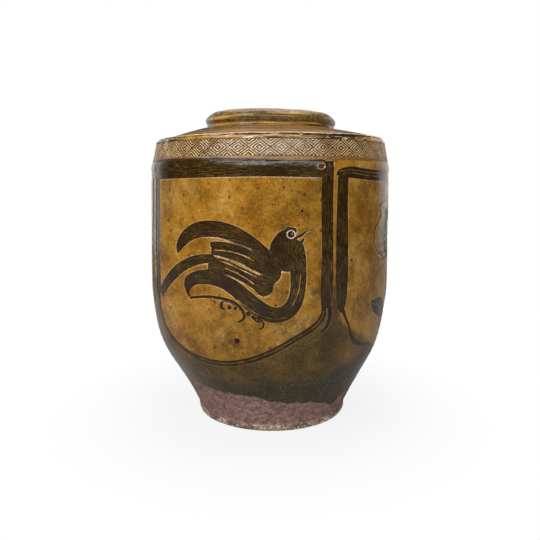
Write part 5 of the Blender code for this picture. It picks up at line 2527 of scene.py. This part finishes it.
@dataclass
class KilnSand(Jig):
    """Crumbs of the kiln floor's sand, fused to the slab's lower edge."""

    form: JarForm
    height: float = 6.0
    steps: int = 160
    density: float = 420000.0
    coarse: float = 0.0012

    def __post_init__(self) -> None:
        """Builds the tree that scatters the crumbs."""
        Jig.__init__(self, "kiln_sand", {"Density": "Float", "Coarse": "Float", "Seed": "Int"})
        entry = self.entry
        place = self.make("GeometryNodeInputPosition").outputs[0]
        clump = self.between(self.noise(place, 30.0, 3, 0.6), 0.46, 0.66)
        thick = self.times(entry["Density"], clump)
        scattered = self.make(
            "GeometryNodeDistributePointsOnFaces",
            {"Mesh": entry["Geometry"], "Density": thick, "Seed": entry["Seed"]},
        )
        crumb = self.make("GeometryNodeMeshIcoSphere", {"Radius": 1.0, "Subdivisions": 1})
        size = self.make(
            "FunctionNodeRandomValue", {"Min": 0.25, "Max": 1.0, "Seed": 4}, data_type="FLOAT"
        )
        scale = self.times(size.outputs["Value"], entry["Coarse"])
        spread = self.make(
            "GeometryNodeInstanceOnPoints",
            {
                "Points": scattered.outputs["Points"],
                "Instance": crumb.outputs["Mesh"],
                "Rotation": scattered.outputs["Rotation"],
                "Scale": self.vector(scale, self.times(scale, 0.8), scale),
            },
        )
        self.finish(spread.outputs[0], 1e-7)

    def build(self, finish: bpy.types.Material) -> bpy.types.Object:
        """Makes the crumbs.

        Args:
            finish: Their material.

        Returns:
            The piece.
        """
        foot = self.form.wall_foot[0]
        line = cubic((foot - 3.0, 0.5), (foot, 8), ((0.55, 0.05), (0.95, 0.45)), 12)
        line = line[line[:, 1] < self.height]
        turn = np.linspace(0, math.tau, self.steps, endpoint=False)
        rings = [
            np.stack([r * np.sin(turn), -r * np.cos(turn), np.full(self.steps, h)], 1) * MM
            for r, h in line
        ]
        faces = []
        for low in range(0, (len(rings) - 1) * self.steps, self.steps):
            high = low + self.steps
            for step in range(self.steps):
                follow = (step + 1) % self.steps
                faces.append((low + step, low + follow, high + follow, high + step))
        strip = bpy.data.meshes.new("sandy_edge")
        strip.from_pydata(self.form.stand(np.vstack(rings)).tolist(), [], faces)
        values = {"Density": self.density, "Coarse": self.coarse, "Seed": 7, "Finish": finish}
        mesh = self.run("kiln_sand", strip, values)
        rest_on_floor(mesh)
        return hand_over(new_object("kiln_sand", mesh), ())


@dataclass(frozen=True)
class SandFinish(Finish):
    """Dull cream and buff grains."""

    buff: Colour = srgb(150, 128, 100)
    cream: Colour = srgb(222, 210, 182)
    name: str = "kiln_sand_grains"

    def paint(self, bench: Bench, effects: Effects, place: Socket) -> Skin:
        """Lays the two colours of the grains."""
        tint = bench.patches(place, 240.0, 2, 0.5, 0.35, 0.65)
        return Skin(bench.blend(tint, self.buff, self.cream), 0.9)


@dataclass
class Studio:
    """A pale floor, white surroundings and soft lamps in front, at the left and at the right."""

    world_level: float = 0.1
    floor_reach: float = 6.0
    floor_colour: Colour = (0.42, 0.42, 0.42, 1.0)

    def build(self) -> None:
        """Sets the stage."""
        self.build_world()
        self.build_floor()
        lamps = (
            ("key_softbox", (-1.75, -1.5, 2.1), (1.0, 1.0), 48.0),
            ("front_strip", (0.25, -2.0, 1.25), (3.2, 0.26), 43.0),
            ("left_edge_softbox", (-1.45, 1.7, 0.6), (1.5, 1.8), 7.0),
            ("right_edge_softbox", (1.45, 1.7, 0.6), (1.5, 1.8), 7.0),
            ("top_softbox", (0.0, 1.0, 2.0), (1.6, 1.2), 14.0),
        )
        for name, place, size, power in lamps:
            data = bpy.data.lights.new(name, "AREA")
            data.shape = "RECTANGLE"
            data.size, data.size_y = size
            data.energy = power
            lamp = bpy.data.objects.new(name, data)
            lamp.location = place
            aim = Vector((0, 0, 0.24)) - Vector(place)
            lamp.rotation_euler = aim.to_track_quat("-Z", "Y").to_euler()
            bpy.context.scene.collection.objects.link(lamp)

    def build_world(self) -> None:
        """Makes surroundings that are white to the camera and dimmer to everything else."""
        world = bpy.data.worlds.new("studio_world")
        world.use_nodes = True
        bpy.context.scene.world = world
        tree = world.node_tree
        background = tree.nodes["Background"]
        background.inputs["Color"].default_value = (1, 1, 1, 1)
        path = tree.nodes.new("ShaderNodeLightPath")
        level = tree.nodes.new("ShaderNodeMapRange")
        level.inputs["To Min"].default_value = self.world_level
        level.inputs["To Max"].default_value = 1.0
        tree.links.new(path.outputs["Is Camera Ray"], level.inputs["Value"])
        tree.links.new(level.outputs["Result"], background.inputs["Strength"])

    def build_floor(self) -> None:
        """Makes the floor, which fades to plain white away from the jar and its shadow."""
        mesh = bpy.data.meshes.new("floor")
        reach = self.floor_reach
        corners = [(-reach, -reach, 0), (reach, -reach, 0), (reach, reach, 0), (-reach, reach, 0)]
        mesh.from_pydata(corners, [], [(0, 1, 2, 3)])
        floor = new_object("floor", mesh)
        material, bench, shader, place = new_finish("pale_floor")
        shader.inputs["Base Color"].default_value = self.floor_colour
        shader.inputs["Roughness"].default_value = 0.9
        shader.inputs["Specular IOR Level"].default_value = 0.1
        length = bench.node("VectorMath", operation="LENGTH")
        bench.feed(length.inputs[0], place)
        far = bench.between(length.outputs["Value"], 0.1, 0.34)
        far = bench.plus(0.86, bench.times(far, 0.14))
        seen = bench.node("LightPath").outputs["Is Camera Ray"]
        glow = bench.node("Emission")
        glow.inputs["Strength"].default_value = 1.0
        mix = bench.node("MixShader")
        bench.feed(mix.inputs[0], bench.times(far, seen))
        bench.feed(mix.inputs[1], shader.outputs[0])
        bench.feed(mix.inputs[2], glow.outputs[0])
        bench.feed(material.node_tree.nodes["Material Output"].inputs["Surface"], mix.outputs[0])
        mesh.materials.append(material)


def main() -> None:
    """Builds the stage and the jar, piece by piece."""
    logging.basicConfig(level=logging.INFO, format="%(name)s: %(message)s")
    view = bpy.context.scene.view_settings
    view.view_transform = "Standard"
    camera = PhotoCamera()
    camera.build()
    Studio().build()
    form = JarForm()
    effects = Effects()
    tone = WallGlaze()
    wall_glaze = WallFinish(tone).build(effects)
    inner_glaze = InnerFinish(tone).build(effects)
    wall = GougedWall(form, camera)
    wall.build(wall_glaze, inner_glaze)
    shoulder_glaze = ShoulderFinish().build(effects)
    wheel = Wheel()
    BaseSlab(form).build(wheel, ClayFinish().build(effects))
    KilnSand(form).build(SandFinish().build(effects))
    StampedBand(form, wall).build(BandFinish(tone).build(effects))
    SeamCoil(form).build(shoulder_glaze)
    Shoulder(form).build(wheel, shoulder_glaze)
    NeckRing(form).build(wheel, RimFinish().build(effects))


if __name__ == "__main__":
    main()
